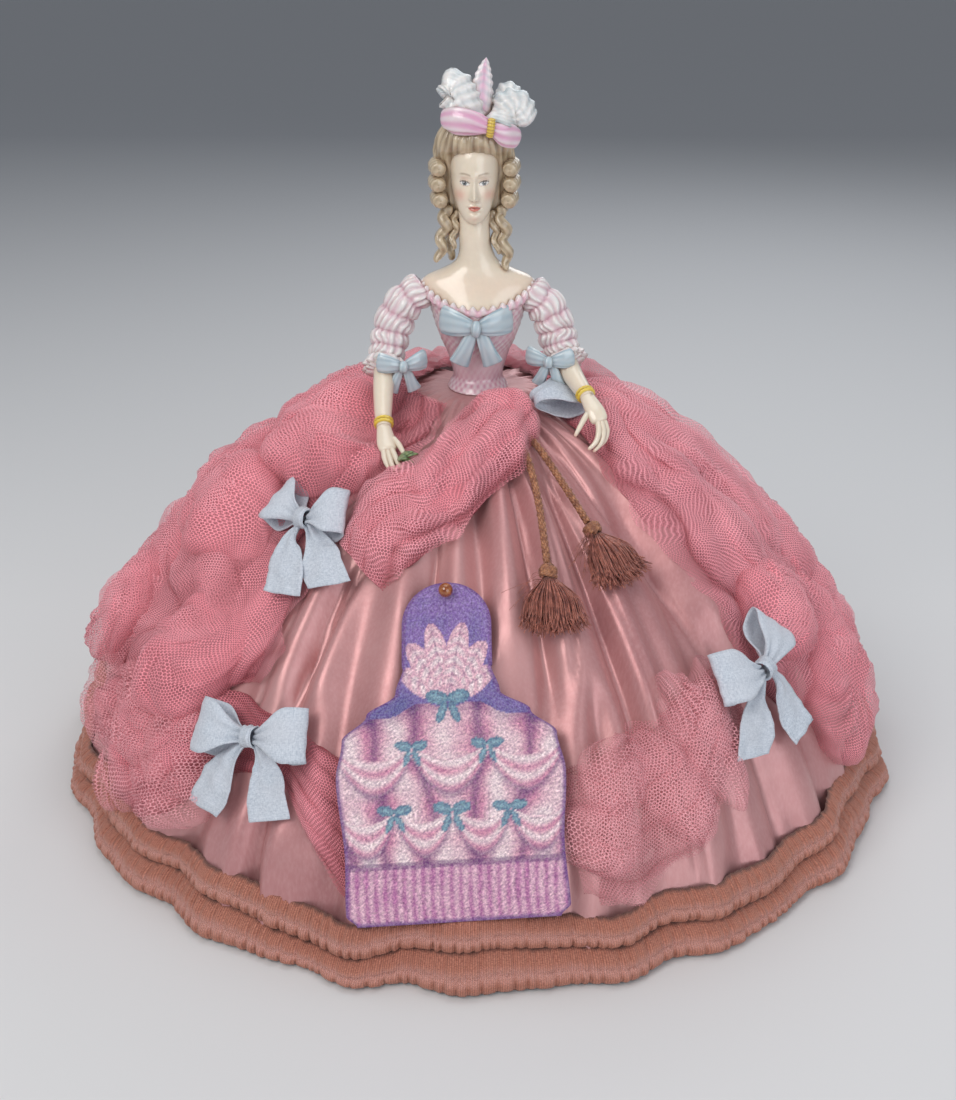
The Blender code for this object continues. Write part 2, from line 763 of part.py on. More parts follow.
def knot_band(name, patch, course, rise, half_up, low, high):
    """A ring round the pinched middles, as deep as the stack of ribbons."""
    corners = ((-1, 0), (-1, 1), (0, 1.25), (1, 1), (1, 0), (0, -0.05))
    rings = []
    for side, level in corners:
        ring = []
        for outward, half in ((0, KNOT_WIDTH / 2), (1, KNOT_WIDTH * 0.36)):
            grow = outward * KNOT_THICKNESS
            up = side * (half_up + grow + KNOT_SLACK)
            middle = (low + high) / 2
            outer = 1 if level > 0.5 else -1
            out = middle + (level - 0.5) * (high - low) + outer * grow * (1 if side == 0 else 0.8)
            for direction in ((-1, 1) if outward == 0 else (1, -1)):
                spot = course * half * direction + rise * up + Vector((0, 0, out))
                ring.append(patch.point(*spot))
        rings.append(ring)
    return smooth(loft(name, rings, CHIFFON, closed=True), 50)


# Name, place, then left loop, right loop, left tail and right tail
BOWS = (
    ("bow_upper_left", (-46.6, 0.33), (-0.0225, 0.001), (0.0165, 0.009), (0.010, -0.032), (0.027, -0.022)),
    ("bow_lower_left", (-33.5, 0.68), (-0.027, -0.004), (0.023, 0.007), (-0.013, -0.034), (0.018, -0.028)),
    ("bow_right", (48.8, 0.63), (-0.026, 0.005), (0.019, 0.014), (-0.024, -0.029), (0.006, -0.032)),
)
WAIST_LOOP_PLACE = (57, 0.06)
WAIST_LOOP_ARM = (0.0170, -0.008)


def waist_bow_loop():
    """One loop of the waist ribbon, standing out from under the sash."""
    patch = Patch(WAIST_LOOP_PLACE)
    arm = Vector((*WAIST_LOOP_ARM, 0))
    across = Vector((-arm.y, arm.x, 0)).normalized()
    count = 12
    path, wide, halves = [], [], []
    for i in range(count):
        turn = 2 * math.pi * i / count
        reach = 0.5 + 0.5 * math.cos(turn)
        out = 0.0035 + 0.0028 * math.sin(turn)
        path.append(arm * (reach - 0.45) + Vector((0, 0, out)))
        wide.append(across)
        halves.append((PINCH + (LOOP_WIDTH * 0.8 - PINCH) * ease(1.4 * reach)) / 2)
    return ribbon("waist_bow_loop", path, wide, halves, patch, closed=True)


# Cords and tassels

# Each cord runs from under the sash down to its tassel's knot
CORD_LEFT_ROUTE = (
    (0.0172, -0.0475, 0.1680),
    (0.0205, -0.0570, 0.1645),
    (0.0232, -0.0672, 0.1580),
    (0.0251, -0.0780, 0.1508),
    (0.0266, -0.0892, 0.1425),
    (0.0275, -0.0973, 0.1362),
)
CORD_RIGHT_ROUTE = (
    (0.0215, -0.0440, 0.1690),
    (0.0275, -0.0530, 0.1645),
    (0.0335, -0.0620, 0.1580),
    (0.0392, -0.0704, 0.1516),
    (0.0446, -0.0780, 0.1452),
)
CORD_POINTS = 6


def cord(name, route):
    """A plain tube along the cord's own route."""
    curve = bpy.data.curves.new(name, "CURVE")
    curve.dimensions = "3D"
    curve.bevel_depth = CORD_DIAMETER / 2
    curve.bevel_resolution = 2
    curve.use_fill_caps = True
    spline = curve.splines.new("POLY")
    points = along(route, CORD_POINTS)
    spline.points.add(len(points) - 1)
    for target, point in zip(spline.points, points):
        target.co = (*point, 1)
    curve.materials.append(finish(CORD))
    made = bpy.data.objects.new(name, curve)
    PARTS.objects.link(made)
    return made


def cord_tunnel(route):
    """A cutter that lets a cord pass under the tulle."""
    start, after = Vector(route[0]), Vector(route[1])
    tube = cord("tunnel", (start - (after - start).normalized() * CORD_DIAMETER, *route[1:]))
    tube.data.bevel_depth = CORD_DIAMETER / 2 + TULLE_GAP
    mesh = evaluated_mesh(tube)
    bpy.data.objects.remove(tube, do_unlink=True)
    shape = bmesh.new()
    shape.from_mesh(mesh)
    bmesh.ops.remove_doubles(shape, verts=shape.verts, dist=0.00001)
    bmesh.ops.recalc_face_normals(shape, faces=shape.faces)
    shape.to_mesh(mesh)
    shape.free()
    return to_cutters(add_object("tunnel", mesh, CORD))


def tassel(side, route):
    """A round knot at the cord's end and a flattened, ribbed fan of thread below it."""
    end, before = Vector(route[-1]), Vector(route[-2])
    down = (end - before).normalized()
    centre = end + down * (TASSEL_KNOT_RADIUS + CLEARANCE)
    bpy.ops.mesh.primitive_uv_sphere_add(
        segments=8, ring_count=5, radius=TASSEL_KNOT_RADIUS, location=centre
    )
    knot = smooth(take_primitive(f"tassel_{side}_knot", CORD))
    outward = dome_normal(math.atan2(centre.x, -centre.y), centre.z)
    across = down.cross(outward).normalized()
    outward = across.cross(down).normalized()
    top = centre + down * (TASSEL_KNOT_RADIUS + CLEARANCE)
    sides = 2 * TASSEL_RIBS + 4
    rings = []
    for share in (0.0, 0.16, 0.6, 1.0):
        width = TASSEL_TOP_WIDTH + (TASSEL_END_WIDTH - TASSEL_TOP_WIDTH) * ease(share * 0.9 + 0.1 * share)
        depth = TASSEL_DEPTH * (1.0 - 0.15 * share)
        lift = 0.0004 * share
        ring = []
        for k in range(sides):
            turn = 2 * math.pi * k / sides
            rib = 1 + (0.10 if k % 2 else -0.06) * min(1.0, 3 * share)
            drop = TASSEL_LENGTH * share * (1 - 0.10 * abs(math.cos(turn)) * share)
            spot = top + down * drop + outward * (lift + depth / 2 * rib * math.sin(turn))
            ring.append(spot + across * (width / 2 * rib * math.cos(turn)))
        rings.append(ring)
    fringe = smooth(loft(f"tassel_{side}_fringe", rings, CORD), 50)
    return [knot, fringe]


# Picture card and pin

# Half widths as shares of the card's width against shares of its height, up to the neck's arch
CARD_SIDE = (
    (0.44, 0.0),
    (0.485, 0.035),
    (0.475, 0.2),
    (0.5, 0.42),
    (0.47, 0.53),
    (0.36, 0.60),
    (0.23, 0.66),
    (0.195, 0.74),
)
CARD_ARCH_STEPS = 5


def card_half_width(share):
    neck = CARD_NECK_SHARE * CARD_WIDTH / 2
    arch_start = 1 - neck / CARD_HEIGHT
    if share >= arch_start:
        rise = (share - arch_start) / (1 - arch_start)
        return neck * math.sqrt(max(0.0, 1 - rise * rise))
    for (wide, low), (narrow, high) in zip(CARD_SIDE, CARD_SIDE[1:]):
        if share <= high:
            return CARD_WIDTH * (wide + (narrow - wide) * ease((share - low) / (high - low)))
    return neck


def card_middle(share, lift=0.0):
    patch = Patch(CARD_PLACE, CARD_TILT)
    return patch.point(0, (share - 0.5) * CARD_HEIGHT, lift)


def card_axes(share):
    """Across and out at a height of the card, which is flat in width and bent in height."""
    step = 0.02
    up = (card_middle(share + step) - card_middle(share - step)).normalized()
    middle = card_middle(share)
    out = dome_normal(math.atan2(middle.x, -middle.y), middle.z)
    across = up.cross(out).normalized()
    return across, across.cross(up).normalized()


def picture_card():
    arch_height = CARD_NECK_SHARE * CARD_WIDTH / 2 / CARD_HEIGHT
    shares = [0.0, 0.035, 0.2, 0.31, 0.42, 0.5, 0.56, 0.61, 0.66, 0.74]
    for k in range(CARD_ARCH_STEPS + 1):
        shares.append(1 - (1 - math.sin(math.pi / 2 * k / CARD_ARCH_STEPS)) * arch_height)
    rings = []
    for share in sorted(set(shares)):
        half = max(card_half_width(share), 0.0006)
        across, out = card_axes(share)
        middle = card_middle(share, CARD_THICKNESS / 2)
        face = out * (CARD_THICKNESS / 2)
        side = across * half
        rings.append([middle - side - face, middle + side - face, middle + side + face, middle - side + face])
    return loft("picture_card", rings, CARD)


def pin(skirt, card, shift):
    """A glass-headed pin through the top of the card, into the stuffing."""
    share = 1 - PIN_INSET / CARD_HEIGHT
    out = card_axes(share)[1]
    face = card_middle(share, CARD_THICKNESS) + shift
    head_centre = face + out * (PIN_HEAD_DIAMETER / 2 + CLEARANCE)
    tip = head_centre - out * PIN_LENGTH
    slack = 0.001
    drill(card, face + out * slack, -out, PIN_HOLE_DIAMETER, CARD_THICKNESS + 2 * slack)
    bpy.ops.mesh.primitive_cylinder_add(vertices=8, radius=PIN_DIAMETER / 2, depth=PIN_LENGTH)
    shaft = take_primitive("pin_shaft", STEEL)
    turn = out.to_track_quat("Z", "Y").to_matrix().to_4x4()
    shaft.data.transform(Matrix.Translation((head_centre + tip) / 2) @ turn)
    bpy.ops.mesh.primitive_uv_sphere_add(segments=8, ring_count=5, radius=PIN_HEAD_DIAMETER / 2)
    head = take_primitive("pin_head", AMBER)
    head.data.transform(Matrix.Translation(head_centre) @ turn)
    seat = head_centre + out * CLEARANCE
    drill(head, seat, -out, PIN_HOLE_DIAMETER, PIN_HEAD_DIAMETER)
    drill(skirt, face + out * slack, -out, PIN_HOLE_DIAMETER, PIN_LENGTH)
    return [smooth(shaft), smooth(head)]


# Porcelain figure, in millimetres from the middle of the waist


def fig(x, y, z):
    return Vector((x * MM, y * MM, z * MM + SKIRT_HEIGHT))


def oval_loft(name, stations, sides, closer_front=0.0, shape=None):
    """A loft of level ovals, shaped in front where a relief is given."""
    rings = []
    for height, half_width, front, back, y in stations:
        ring = []
        for i in range(sides):
            turn = 2 * math.pi * i / sides
            turn -= closer_front * math.cos(turn)
            depth = back if math.sin(turn) > 0 else front
            x = half_width * math.cos(turn)
            forward = y + depth * math.sin(turn)
            if shape:
                forward -= shape(x, height) * max(0.0, -math.sin(turn))
            leaned = HEAD_OFFSET * ease((height - NECK_HEIGHT) / 20)
            ring.append(fig(x + leaned, forward, height))
        rings.append(ring)
    return loft(name, rings, PORCELAIN)


def limb(name, middles, sizes, sides, across=(1, 0, 0), lobes=0, twist=0.0, depth=0.25):
    """A loft along a path. Each size is a half width along 'across' and a half depth."""
    across = Vector(across).normalized()
    rings = []
    last = len(middles) - 1
    points = [fig(*middle) for middle in middles]
    for i, (point, (wide, deep)) in enumerate(zip(points, sizes)):
        heading = (points[min(i + 1, last)] - points[max(i - 1, 0)]).normalized()
        side = (across - heading * across.dot(heading)).normalized()
        forward = heading.cross(side)
        ring = []
        for k in range(sides):
            turn = 2 * math.pi * k / sides
            swell = 1 + depth * math.cos(lobes * turn + twist * i) if lobes else 1
            ring.append(point + (side * wide * math.cos(turn) + forward * deep * math.sin(turn)) * swell * MM)
        rings.append(ring)
    return loft(name, rings, PORCELAIN)


# Level ovals, each (height, half width, front depth, back depth, middle's y)
TORSO = (
    (0.3, 13.4, 14.4, 12.0, 0.0),
    (2.4, 12.4, 12.8, 11.0, 0.0),
    (6.0, 10.8, 10.0, 9.0, 0.0),
    (15.0, 13.0, 11.2, 9.8, 0.0),
    (23.0, 16.2, 13.4, 10.8, 0.0),
    (30.0, 18.6, 15.4, 11.8, 0.0),
    (36.0, 20.2, 15.6, 12.4, 0.0),
    (41.0, 21.6, 13.4, 12.0, 0.0),
    (46.0, 24.0, 10.8, 10.6, 0.0),
    (49.5, 22.5, 9.2, 9.2, 0.2),
    (52.5, 16.0, 8.2, 8.2, 0.2),
    (56.0, 9.6, 7.2, 7.4, 0.0),
    (61.0, 7.2, 6.6, 6.8, -0.4),
    (68.0, 6.6, 6.4, 6.6, -1.0),
    (78.0, 6.6, 5.6, 7.4, -1.0),
)
HEAD = (
    (74.4, 2.2, 1.8, 2.0, -7.6),
    (75.6, 4.2, 3.8, 4.0, -6.2),
    (78.4, 6.4, 7.0, 7.0, -3.8),
    (82.4, 8.0, 9.4, 9.0, -1.8),
    (87.0, 9.2, 10.6, 10.6, -0.7),
    (92.0, 9.9, 11.2, 11.6, 0.0),
    (97.0, 10.1, 11.4, 11.8, 0.0),
    (102.0, 9.5, 10.8, 11.4, 0.0),
    (107.0, 7.6, 8.6, 9.4, 0.4),
)
HAIR = (
    (70.0, 9.0, 1.5, 7.0, 5.0),
    (76.0, 13.2, 4.0, 10.6, 3.4),
    (82.0, 15.0, 5.6, 12.2, 2.8),
    (90.0, 16.2, 6.6, 13.4, 2.2),
    (97.0, 16.7, 8.8, 14.0, 1.6),
    (102.0, 16.7, 12.4, 14.2, 1.0),
    (106.5, 16.0, 13.6, 13.8, 1.0),
    (111.0, 14.2, 12.2, 12.2, 1.0),
    (115.0, 10.6, 9.2, 9.2, 1.0),
    (117.5, 4.6, 4.0, 4.0, 1.0),
)
SIDE_ROLLS = ((96.5, 14.6), (90.0, 14.8), (83.4, 14.0))  # height, and how far out
# Each ringlet: its top, its end and its thickness
RINGLETS = (
    ((-12.5, 1.0, 79.0), (-17.0, -3.0, 56.5), 3.3),
    ((-9.5, 6.0, 78.0), (-12.5, 5.5, 55.0), 3.0),
    ((9.5, 1.0, 79.0), (13.2, -4.0, 53.5), 3.1),
    ((7.0, 6.0, 78.0), (10.5, 5.0, 57.0), 2.9),
)
RINGLET_STEPS = 5
RINGLET_SWING = 1.3


def face_relief(x, height):
    """How far the features stand forward: a plain classical face by rule, an eye's width apart."""

    def bump(middle_x, middle_z, spread_x, spread_z):
        return math.exp(-(((x - middle_x) / spread_x) ** 2) - ((height - middle_z) / spread_z) ** 2)

    bridge = 0.9 * bump(0, 91.0, 1.3, 4.0)
    nose = 2.6 * bump(0, 85.6, 1.6, 2.0)
    hollows = -0.9 * (bump(4.0, 91.4, 2.2, 1.8) + bump(-4.0, 91.4, 2.2, 1.8))
    lips = 0.9 * bump(0, 81.2, 2.6, 1.1)
    chin = 0.9 * bump(0, 77.0, 2.6, 1.8)
    cheeks = 0.5 * (bump(5.4, 85.5, 2.6, 2.8) + bump(-5.4, 85.5, 2.6, 2.8))
    return bridge + nose + hollows + lips + chin + cheeks


def torso():
    body = oval_loft("torso", TORSO, 12)
    bpy.ops.mesh.primitive_cylinder_add(
        vertices=PLUG_SIDES, radius=PLUG_RADIUS, depth=PLUG_DEPTH + 0.002, location=(0, 0, 0)
    )
    plug = take_primitive("plug", PORCELAIN)
    plug.data.transform(Matrix.Translation((0, 0, SKIRT_HEIGHT - PLUG_DEPTH / 2 + 0.001)))
    return [body, plug]


def head():
    stations = [tuple(station) for station in along(HEAD, 10)]
    return [oval_loft("head", stations, 16, closer_front=0.45, shape=face_relief)]


def hair():
    """A high dressed mass with strand grooves, side rolls and hanging ringlets."""
    rings = []
    sides = 16
    for height, half_width, front, back, y in HAIR:
        ring = []
        for i in range(sides):
            turn = 2 * math.pi * i / sides
            groove = 1 + 0.022 * (-1) ** i
            depth = back if math.sin(turn) > 0 else front
            x = HEAD_OFFSET + half_width * groove * math.cos(turn)
            ring.append(fig(x, y + depth * groove * math.sin(turn), height))
        rings.append(ring)
    pieces = [loft("hair", rings, PORCELAIN)]
    for side in (-1, 1):
        for height, out in SIDE_ROLLS:
            x = HEAD_OFFSET + side * out
            middles = ((x, -5.0, height - 1.0), (x + side, 0.5, height), (x, 7.0, height + 1.0))
            pieces.append(limb("side_roll", middles, ((2.2, 2.2), (3.6, 3.5), (2.2, 2.2)), 6))
    for start, end, thick in RINGLETS:
        middles, sizes = [], []
        for k in range(RINGLET_STEPS + 1):
            share = k / RINGLET_STEPS
            middle = Vector(start).lerp(Vector(end), share)
            middle.x += RINGLET_SWING * math.sin(7.5 * share)
            middles.append(tuple(middle))
            taper = 1 - 0.45 * share**3
            sizes.append((thick * taper, thick * taper))
        pieces.append(limb("ringlet", middles, sizes, 5, lobes=2, twist=1.1))
    return pieces


# Each plume: its path from the root, and half widths and depths along it
PLUMES = (
    (
        ((1, -3, 112), (1.2, -5, 122), (2.2, -4, 133), (3.4, -2, 140)),
        ((3.0, 2.0), (4.6, 1.6), (3.4, 1.2), (0.6, 0.5)),
    ),
    (
        ((-1, -5, 112), (-6, -7, 122), (-10.5, -6, 128.5), (-14.6, -6, 125.0)),
        ((4.5, 3.0), (6.0, 3.2), (5.2, 3.0), (2.2, 1.8)),
    ),
    (
        ((4, -5, 112), (9, -7, 118), (15.5, -6, 121), (21, -7, 114.5)),
        ((4.5, 3.0), (5.8, 3.2), (5.0, 3.0), (2.0, 1.8)),
    ),
    (
        ((3, -1, 112), (7, 1, 120), (12, 1, 124.5), (17, -1, 121.5)),
        ((4.5, 3.0), (5.6, 3.0), (4.2, 2.4), (1.6, 1.4)),
    ),
)
HAIR_RIBBON = (
    (-15.0, -7.5, 117.5),
    (-9.0, -11.5, 117.0),
    (-1.0, -13.2, 116.0),
    (5.2, -13.6, 114.4),
    (11.5, -12.0, 111.5),
    (17.0, -8.0, 108.5),
)
HAIR_RIBBON_SIZES = ((2.6, 1.2), (4.0, 2.2), (3.2, 2.2), (2.6, 2.0), (3.4, 2.0), (2.4, 1.2))
CLASP = ((5.6, -14.6, 118.4), (5.2, -15.4, 114.6), (4.6, -14.6, 111.0))
CLASP_SIZES = ((1.5, 1.3), (1.5, 1.3), (1.4, 1.2))


def plumes():
    pieces = []
    for middles, sizes in PLUMES:
        fine_middles = [tuple(point) for point in along(middles, 4)]
        fine_sizes = [tuple(size) for size in along(sizes, 4)]
        pieces.append(limb("plume", fine_middles, fine_sizes, 7, across=(0.7, 0.2, 0.7)))
    pieces.append(limb("hair_ribbon", HAIR_RIBBON, HAIR_RIBBON_SIZES, 8, across=(0, 0, 1)))
    pieces.append(limb("clasp", CLASP, CLASP_SIZES, 6))
    return pieces


def moulded_bow(centre, size, turn, wrap):
    """A small bow in relief: two loops, two tails and a knot. The turn is its angle seen from
    above, and the wrap is how far its ends fall back round the body."""
    centre = Vector(centre)
    right = Vector((math.cos(math.radians(turn)), math.sin(math.radians(turn)), 0)) * size
    back = Vector((-right.y, right.x, 0)).normalized()
    up = Vector((0, 0, size))
    pieces = []
    for side in (-1, 1):
        loop, tail = [], []
        for t, puff in ((0.0, 0.2), (0.55, 0.9), (1.0, 0.2)):
            loop.append(centre + right * side * t + back * (wrap * t * t - puff) + up * 0.18 * t)
        for out, fall in ((0.06, 0.0), (0.30, -0.55), (0.50, -1.1)):
            tail.append(centre + right * side * out + back * wrap * out * out + up * fall)
        loop_sizes = ((0.18 * size, 1.1), (0.34 * size, 1.7), (0.42 * size, 1.2))
        tail_sizes = ((0.14 * size, 1.1), (0.22 * size, 1.2), (0.30 * size, 1.1))
        pieces.append(limb("loop", loop, loop_sizes, 5, across=(0, 0, 1)))
        pieces.append(limb("tail", tail, tail_sizes, 5, across=tuple(right)))
    knot = [centre - back * puff + up * rise for rise, puff in ((0.2, 0.6), (0.0, 1.2), (-0.2, 0.6))]
    pieces.append(limb("bow_knot", knot, ((1.3, 1.3), (2.0, 1.9), (1.3, 1.3)), 6))
    return pieces


# Each arm from the shoulder to the wrist, then the palm
ARM_LEFT = (
    (-23.0, 0.0, 45.0),
    (-33.5, -1.5, 36.0),
    (-38.0, -4.5, 24.0),
    (-40.0, -10.0, 15.0),
    (-40.6, -21.0, 7.5),
    (-40.4, -32.0, -0.6),
    (-39.7, -39.7, -4.7),
)
ARM_RIGHT = (
    (21.5, 0.0, 44.0),
    (30.5, -1.5, 35.0),
    (34.5, -4.0, 24.5),
    (37.0, -8.5, 16.5),
    (40.5, -16.0, 11.0),
    (44.0, -24.5, 7.5),
    (46.6, -31.0, 5.4),
)
HAND_LEFT = ((-39.5, -41.2, -5.5), (-38.2, -48.2, -8.3), (-37.0, -52.7, -10.3))
HAND_RIGHT = ((46.8, -31.8, 5.0), (49.6, -37.4, 1.4), (51.6, -41.0, -2.2))
FINGERS_LEFT = (
    ((-39.4, -51.7, -10.1), (-38.6, -56.7, -12.3), (-37.0, -60.2, -13.9)),
    ((-37.8, -52.2, -10.3), (-36.2, -58.1, -12.9), (-34.0, -62.2, -14.3)),
    ((-36.0, -51.7, -9.7), (-33.8, -57.3, -12.3), (-31.4, -61.3, -13.7)),
    ((-35.8, -46.7, -7.1), (-32.4, -51.7, -8.9), (-30.4, -56.2, -10.9)),
)
FINGERS_RIGHT = (
    ((53.0, -40.0, -1.8), (53.8, -43.2, -7.0), (50.4, -45.2, -11.2)),
    ((51.8, -40.8, -2.0), (52.0, -45.6, -7.4), (48.4, -48.0, -11.8)),
    ((50.4, -40.6, -1.8), (49.6, -46.4, -6.8), (46.2, -48.6, -10.6)),
    ((47.4, -36.0, 1.6), (43.4, -42.4, -1.4), (40.6, -47.6, -5.0)),
)


def arm(points, hand, fingers):
    """A sleeve of ruched tiers, a lace cuff, the bare forearm with its bracelet, and the hand."""
    pieces = []
    upper = [tuple(point) for point in along(points[:4], 2 * SLEEVE_TIERS)]
    sizes = []
    for k in range(len(upper)):
        girth = 6.4 + 1.2 * math.sin(math.pi * k / (len(upper) - 1)) + (1.1 if k % 2 else -0.5)
        sizes.append((girth, girth))
    pieces.append(limb("sleeve", upper, sizes, 8, across=(0, 1, 0), lobes=4, twist=0.7, depth=0.06))
    cuff = [tuple(point) for point in along(points[2:5], 6)][2:5]
    cuff_sizes = ((5.6, 5.6), (7.6, 7.6), (9.2, 9.2))
    pieces.append(limb("cuff", cuff, cuff_sizes, 10, across=(0, 1, 0), lobes=5, depth=0.1))
    fore = [tuple(point) for point in along(points[3:], 5)]
    girths = (5.0, 4.6, 4.1, 3.5, 3.9, 3.3)
    pieces.append(limb("forearm", fore, [(girth, girth) for girth in girths], 7))
    pieces.append(limb("palm", [points[-1], *hand], ((3.0, 2.6), (3.2, 2.4), (4.0, 2.3), (3.4, 1.9)), 6))
    for finger in fingers:
        pieces.append(limb("finger", finger, ((1.25, 1.25), (1.2, 1.2), (0.8, 0.8)), 5))
    return pieces


def leaves():
    """A sprig in the left-hand fingers."""
    pieces = []
    root = Vector((-31.0, -58.2, -10.9))
    start = root - Vector((2.2, 0, 0.6))
    for reach in ((6.5, 0.8, 1.6), (5.2, -3.2, -0.8), (3.2, 4.0, 1.4)):
        tip = root + Vector(reach)
        middles = (tuple(start), tuple(start.lerp(tip, 0.55) + Vector((0, 0, 0.8))), tuple(tip))
        pieces.append(limb("leaf", middles, ((0.8, 0.7), (1.9, 0.7), (0.5, 0.4)), 5, across=(0, 1, 0)))
    return pieces


def neckline():
    """The frilled edge of the bodice, deep in front and running up over the shoulders."""
    rings = []
    count = 16
    thickness, half_height = 1.5, 2.0
    for i in range(count):
        turn = 2 * math.pi * i / count
        front = max(0.0, -math.sin(turn))
        height = 45.5 - 8.0 * front**1.5 + 0.6 * (-1) ** i
        depth = 13.6 if math.sin(turn) < 0 else 11.0
        middle = Vector((23.4 * math.cos(turn), depth * math.sin(turn) * (1 + 0.10 * front), height))
        outward = Vector((math.cos(turn), math.sin(turn), 0))
        ring = []
        for k in range(4):
            spin = math.pi / 2 * k
            corner = outward * thickness * math.cos(spin) + Vector((0, 0, half_height * math.sin(spin)))
            ring.append(fig(*(middle + corner)))
        rings.append(ring)
    return [loft("neckline", rings, PORCELAIN, closed=True)]


def porcelain_half_doll():
    pieces = torso() + head() + hair() + plumes() + neckline()
    pieces += arm(ARM_LEFT, HAND_LEFT, FINGERS_LEFT) + arm(ARM_RIGHT, HAND_RIGHT, FINGERS_RIGHT)
    pieces += leaves()
    pieces += moulded_bow((-0.6, -15.6, 31.0), 13.0, 0, 4.6)
    pieces += moulded_bow((-34.5, -14.0, 17.0), 8.6, 20, 2.2)
    pieces += moulded_bow((32.0, -12.0, 17.5), 8.4, -20, 2.2)
    return smooth(fuse("porcelain_half_doll", pieces, PORCELAIN), 45)


def main():
    skirt = satin_skirt()
    base_board()
    lower, upper = hem()
    lengths = {}
    neighbours = {
        "tulle_sash": [],
        "tulle_drape_left": ["tulle_sash"],
        "tulle_swag_left": ["tulle_drape_left"],
        "tulle_drape_right": ["tulle_sash"],
        "tulle_swag_right": ["tulle_drape_right"],
        "tulle_drape_back": ["tulle_drape_left", "tulle_drape_right"],
    }
    tunnels = [cord_tunnel(CORD_LEFT_ROUTE), cord_tunnel(CORD_RIGHT_ROUTE)]
    porcelain_half_doll()
    cutters = {"satin_skirt": swollen(skirt, TULLE_GAP), "hem": swollen(upper, TULLE_GAP)}
    for name, edges, puffs, steps_along, steps_across in TULLE_LENGTHS:
        made = tulle(name, edges, puffs, steps_along, steps_across)
        cutters[name] = swollen(made, 2 * TULLE_GAP)
        around = [cutters["satin_skirt"]] + [cutters[other] for other in neighbours[name]]
        around += tunnels if name == "tulle_sash" else [cutters["hem"]]
        lengths[name] = cut(made, around)
    laid = [skirt, upper, lower, *lengths.values()]
    for name, place, *arms in BOWS:
        ribbons = bow(name, place, *arms)
        settle(ribbons, laid, -Patch(place).out, 1.5 * CLEARANCE)
    loop = waist_bow_loop()
    settle([loop], laid, -Patch(WAIST_LOOP_PLACE).out, 1.5 * CLEARANCE)
    for side, route in (("left", CORD_LEFT_ROUTE), ("right", CORD_RIGHT_ROUTE)):
        cord(f"tassel_cord_{side}", route)
        tassel(side, route)
    card = picture_card()
    shift = settle([card], laid, -Patch(CARD_PLACE).out, 1.5 * CLEARANCE)
    pin(skirt, card, shift)


clear_scene()
PARTS = collection("pincushion_doll")
CUTTERS = collection("cutters")
CUTTERS.hide_render = True
SLOPE = slope_table()
main()
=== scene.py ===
import math
import random

import bpy
from mathutils import Matrix, Vector, noise


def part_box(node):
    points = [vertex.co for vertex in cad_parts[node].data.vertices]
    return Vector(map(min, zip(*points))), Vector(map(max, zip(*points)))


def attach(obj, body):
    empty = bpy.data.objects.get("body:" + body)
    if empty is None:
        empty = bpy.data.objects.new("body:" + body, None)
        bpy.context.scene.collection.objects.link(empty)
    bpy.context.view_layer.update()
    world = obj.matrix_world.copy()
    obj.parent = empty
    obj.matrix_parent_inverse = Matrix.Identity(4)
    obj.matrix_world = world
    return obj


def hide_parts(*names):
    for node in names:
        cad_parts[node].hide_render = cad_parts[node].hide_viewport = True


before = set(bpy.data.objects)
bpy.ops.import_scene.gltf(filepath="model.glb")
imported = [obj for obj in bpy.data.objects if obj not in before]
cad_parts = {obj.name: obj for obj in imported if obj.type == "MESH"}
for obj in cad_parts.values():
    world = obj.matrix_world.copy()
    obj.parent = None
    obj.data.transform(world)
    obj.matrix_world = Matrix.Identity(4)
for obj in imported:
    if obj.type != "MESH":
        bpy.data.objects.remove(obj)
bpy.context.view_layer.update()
print("stage: frame loaded")

mm = 0.001

# Shader helpers


def startMaterial(name, colour, roughness, others=None):
    material = bpy.data.materials.new(name)
    material.use_nodes = True
    shader = material.node_tree.nodes["Principled BSDF"]
    shader.inputs["Base Color"].default_value = (*colour, 1)
    shader.inputs["Roughness"].default_value = roughness
    for key, value in (others or {}).items():
        shader.inputs[key].default_value = value
    return material, material.node_tree, shader


def addNode(tree, kind, settings=None, inputs=None):
    node = tree.nodes.new(kind)
    for key, value in (settings or {}).items():
        setattr(node, key, value)
    for key, value in (inputs or {}).items():
        if isinstance(value, bpy.types.NodeSocket):
            tree.links.new(value, node.inputs[key])
        else:
            node.inputs[key].default_value = value
    return node


def calc(tree, operation, first, second=0.0):
    return addNode(tree, "ShaderNodeMath", {"operation": operation}, {0: first, 1: second}).outputs[0]


def vectorCalc(tree, operation, inputs):
    return addNode(tree, "ShaderNodeVectorMath", {"operation": operation}, inputs).outputs[0]


def remap(tree, value, low, high, toLow=0.0, toHigh=1.0):
    inputs = {0: value, 1: low, 2: high, 3: toLow, 4: toHigh}
    return addNode(tree, "ShaderNodeMapRange", {"clamp": True}, inputs).outputs[0]


def mixColour(tree, factor, first, second, mode="MIX"):
    node = addNode(tree, "ShaderNodeMix", {"data_type": "RGBA", "blend_type": mode})
    for index, value in ((0, factor), (6, first), (7, second)):
        if isinstance(value, bpy.types.NodeSocket):
            tree.links.new(value, node.inputs[index])
        else:
            node.inputs[index].default_value = (*value, 1) if index > 0 else value
    return node.outputs[2]


def noiseOf(tree, vector, scale, detail=3.0, roughness=0.55):
    inputs = {"Vector": vector, "Scale": scale, "Detail": detail, "Roughness": roughness}
    return addNode(tree, "ShaderNodeTexNoise", None, inputs).outputs["Fac"]


def feed(tree, value, shader, key="Base Color"):
    tree.links.new(value, shader.inputs[key])


def placed(tree):
    return addNode(tree, "ShaderNodeTexCoord").outputs["Object"]


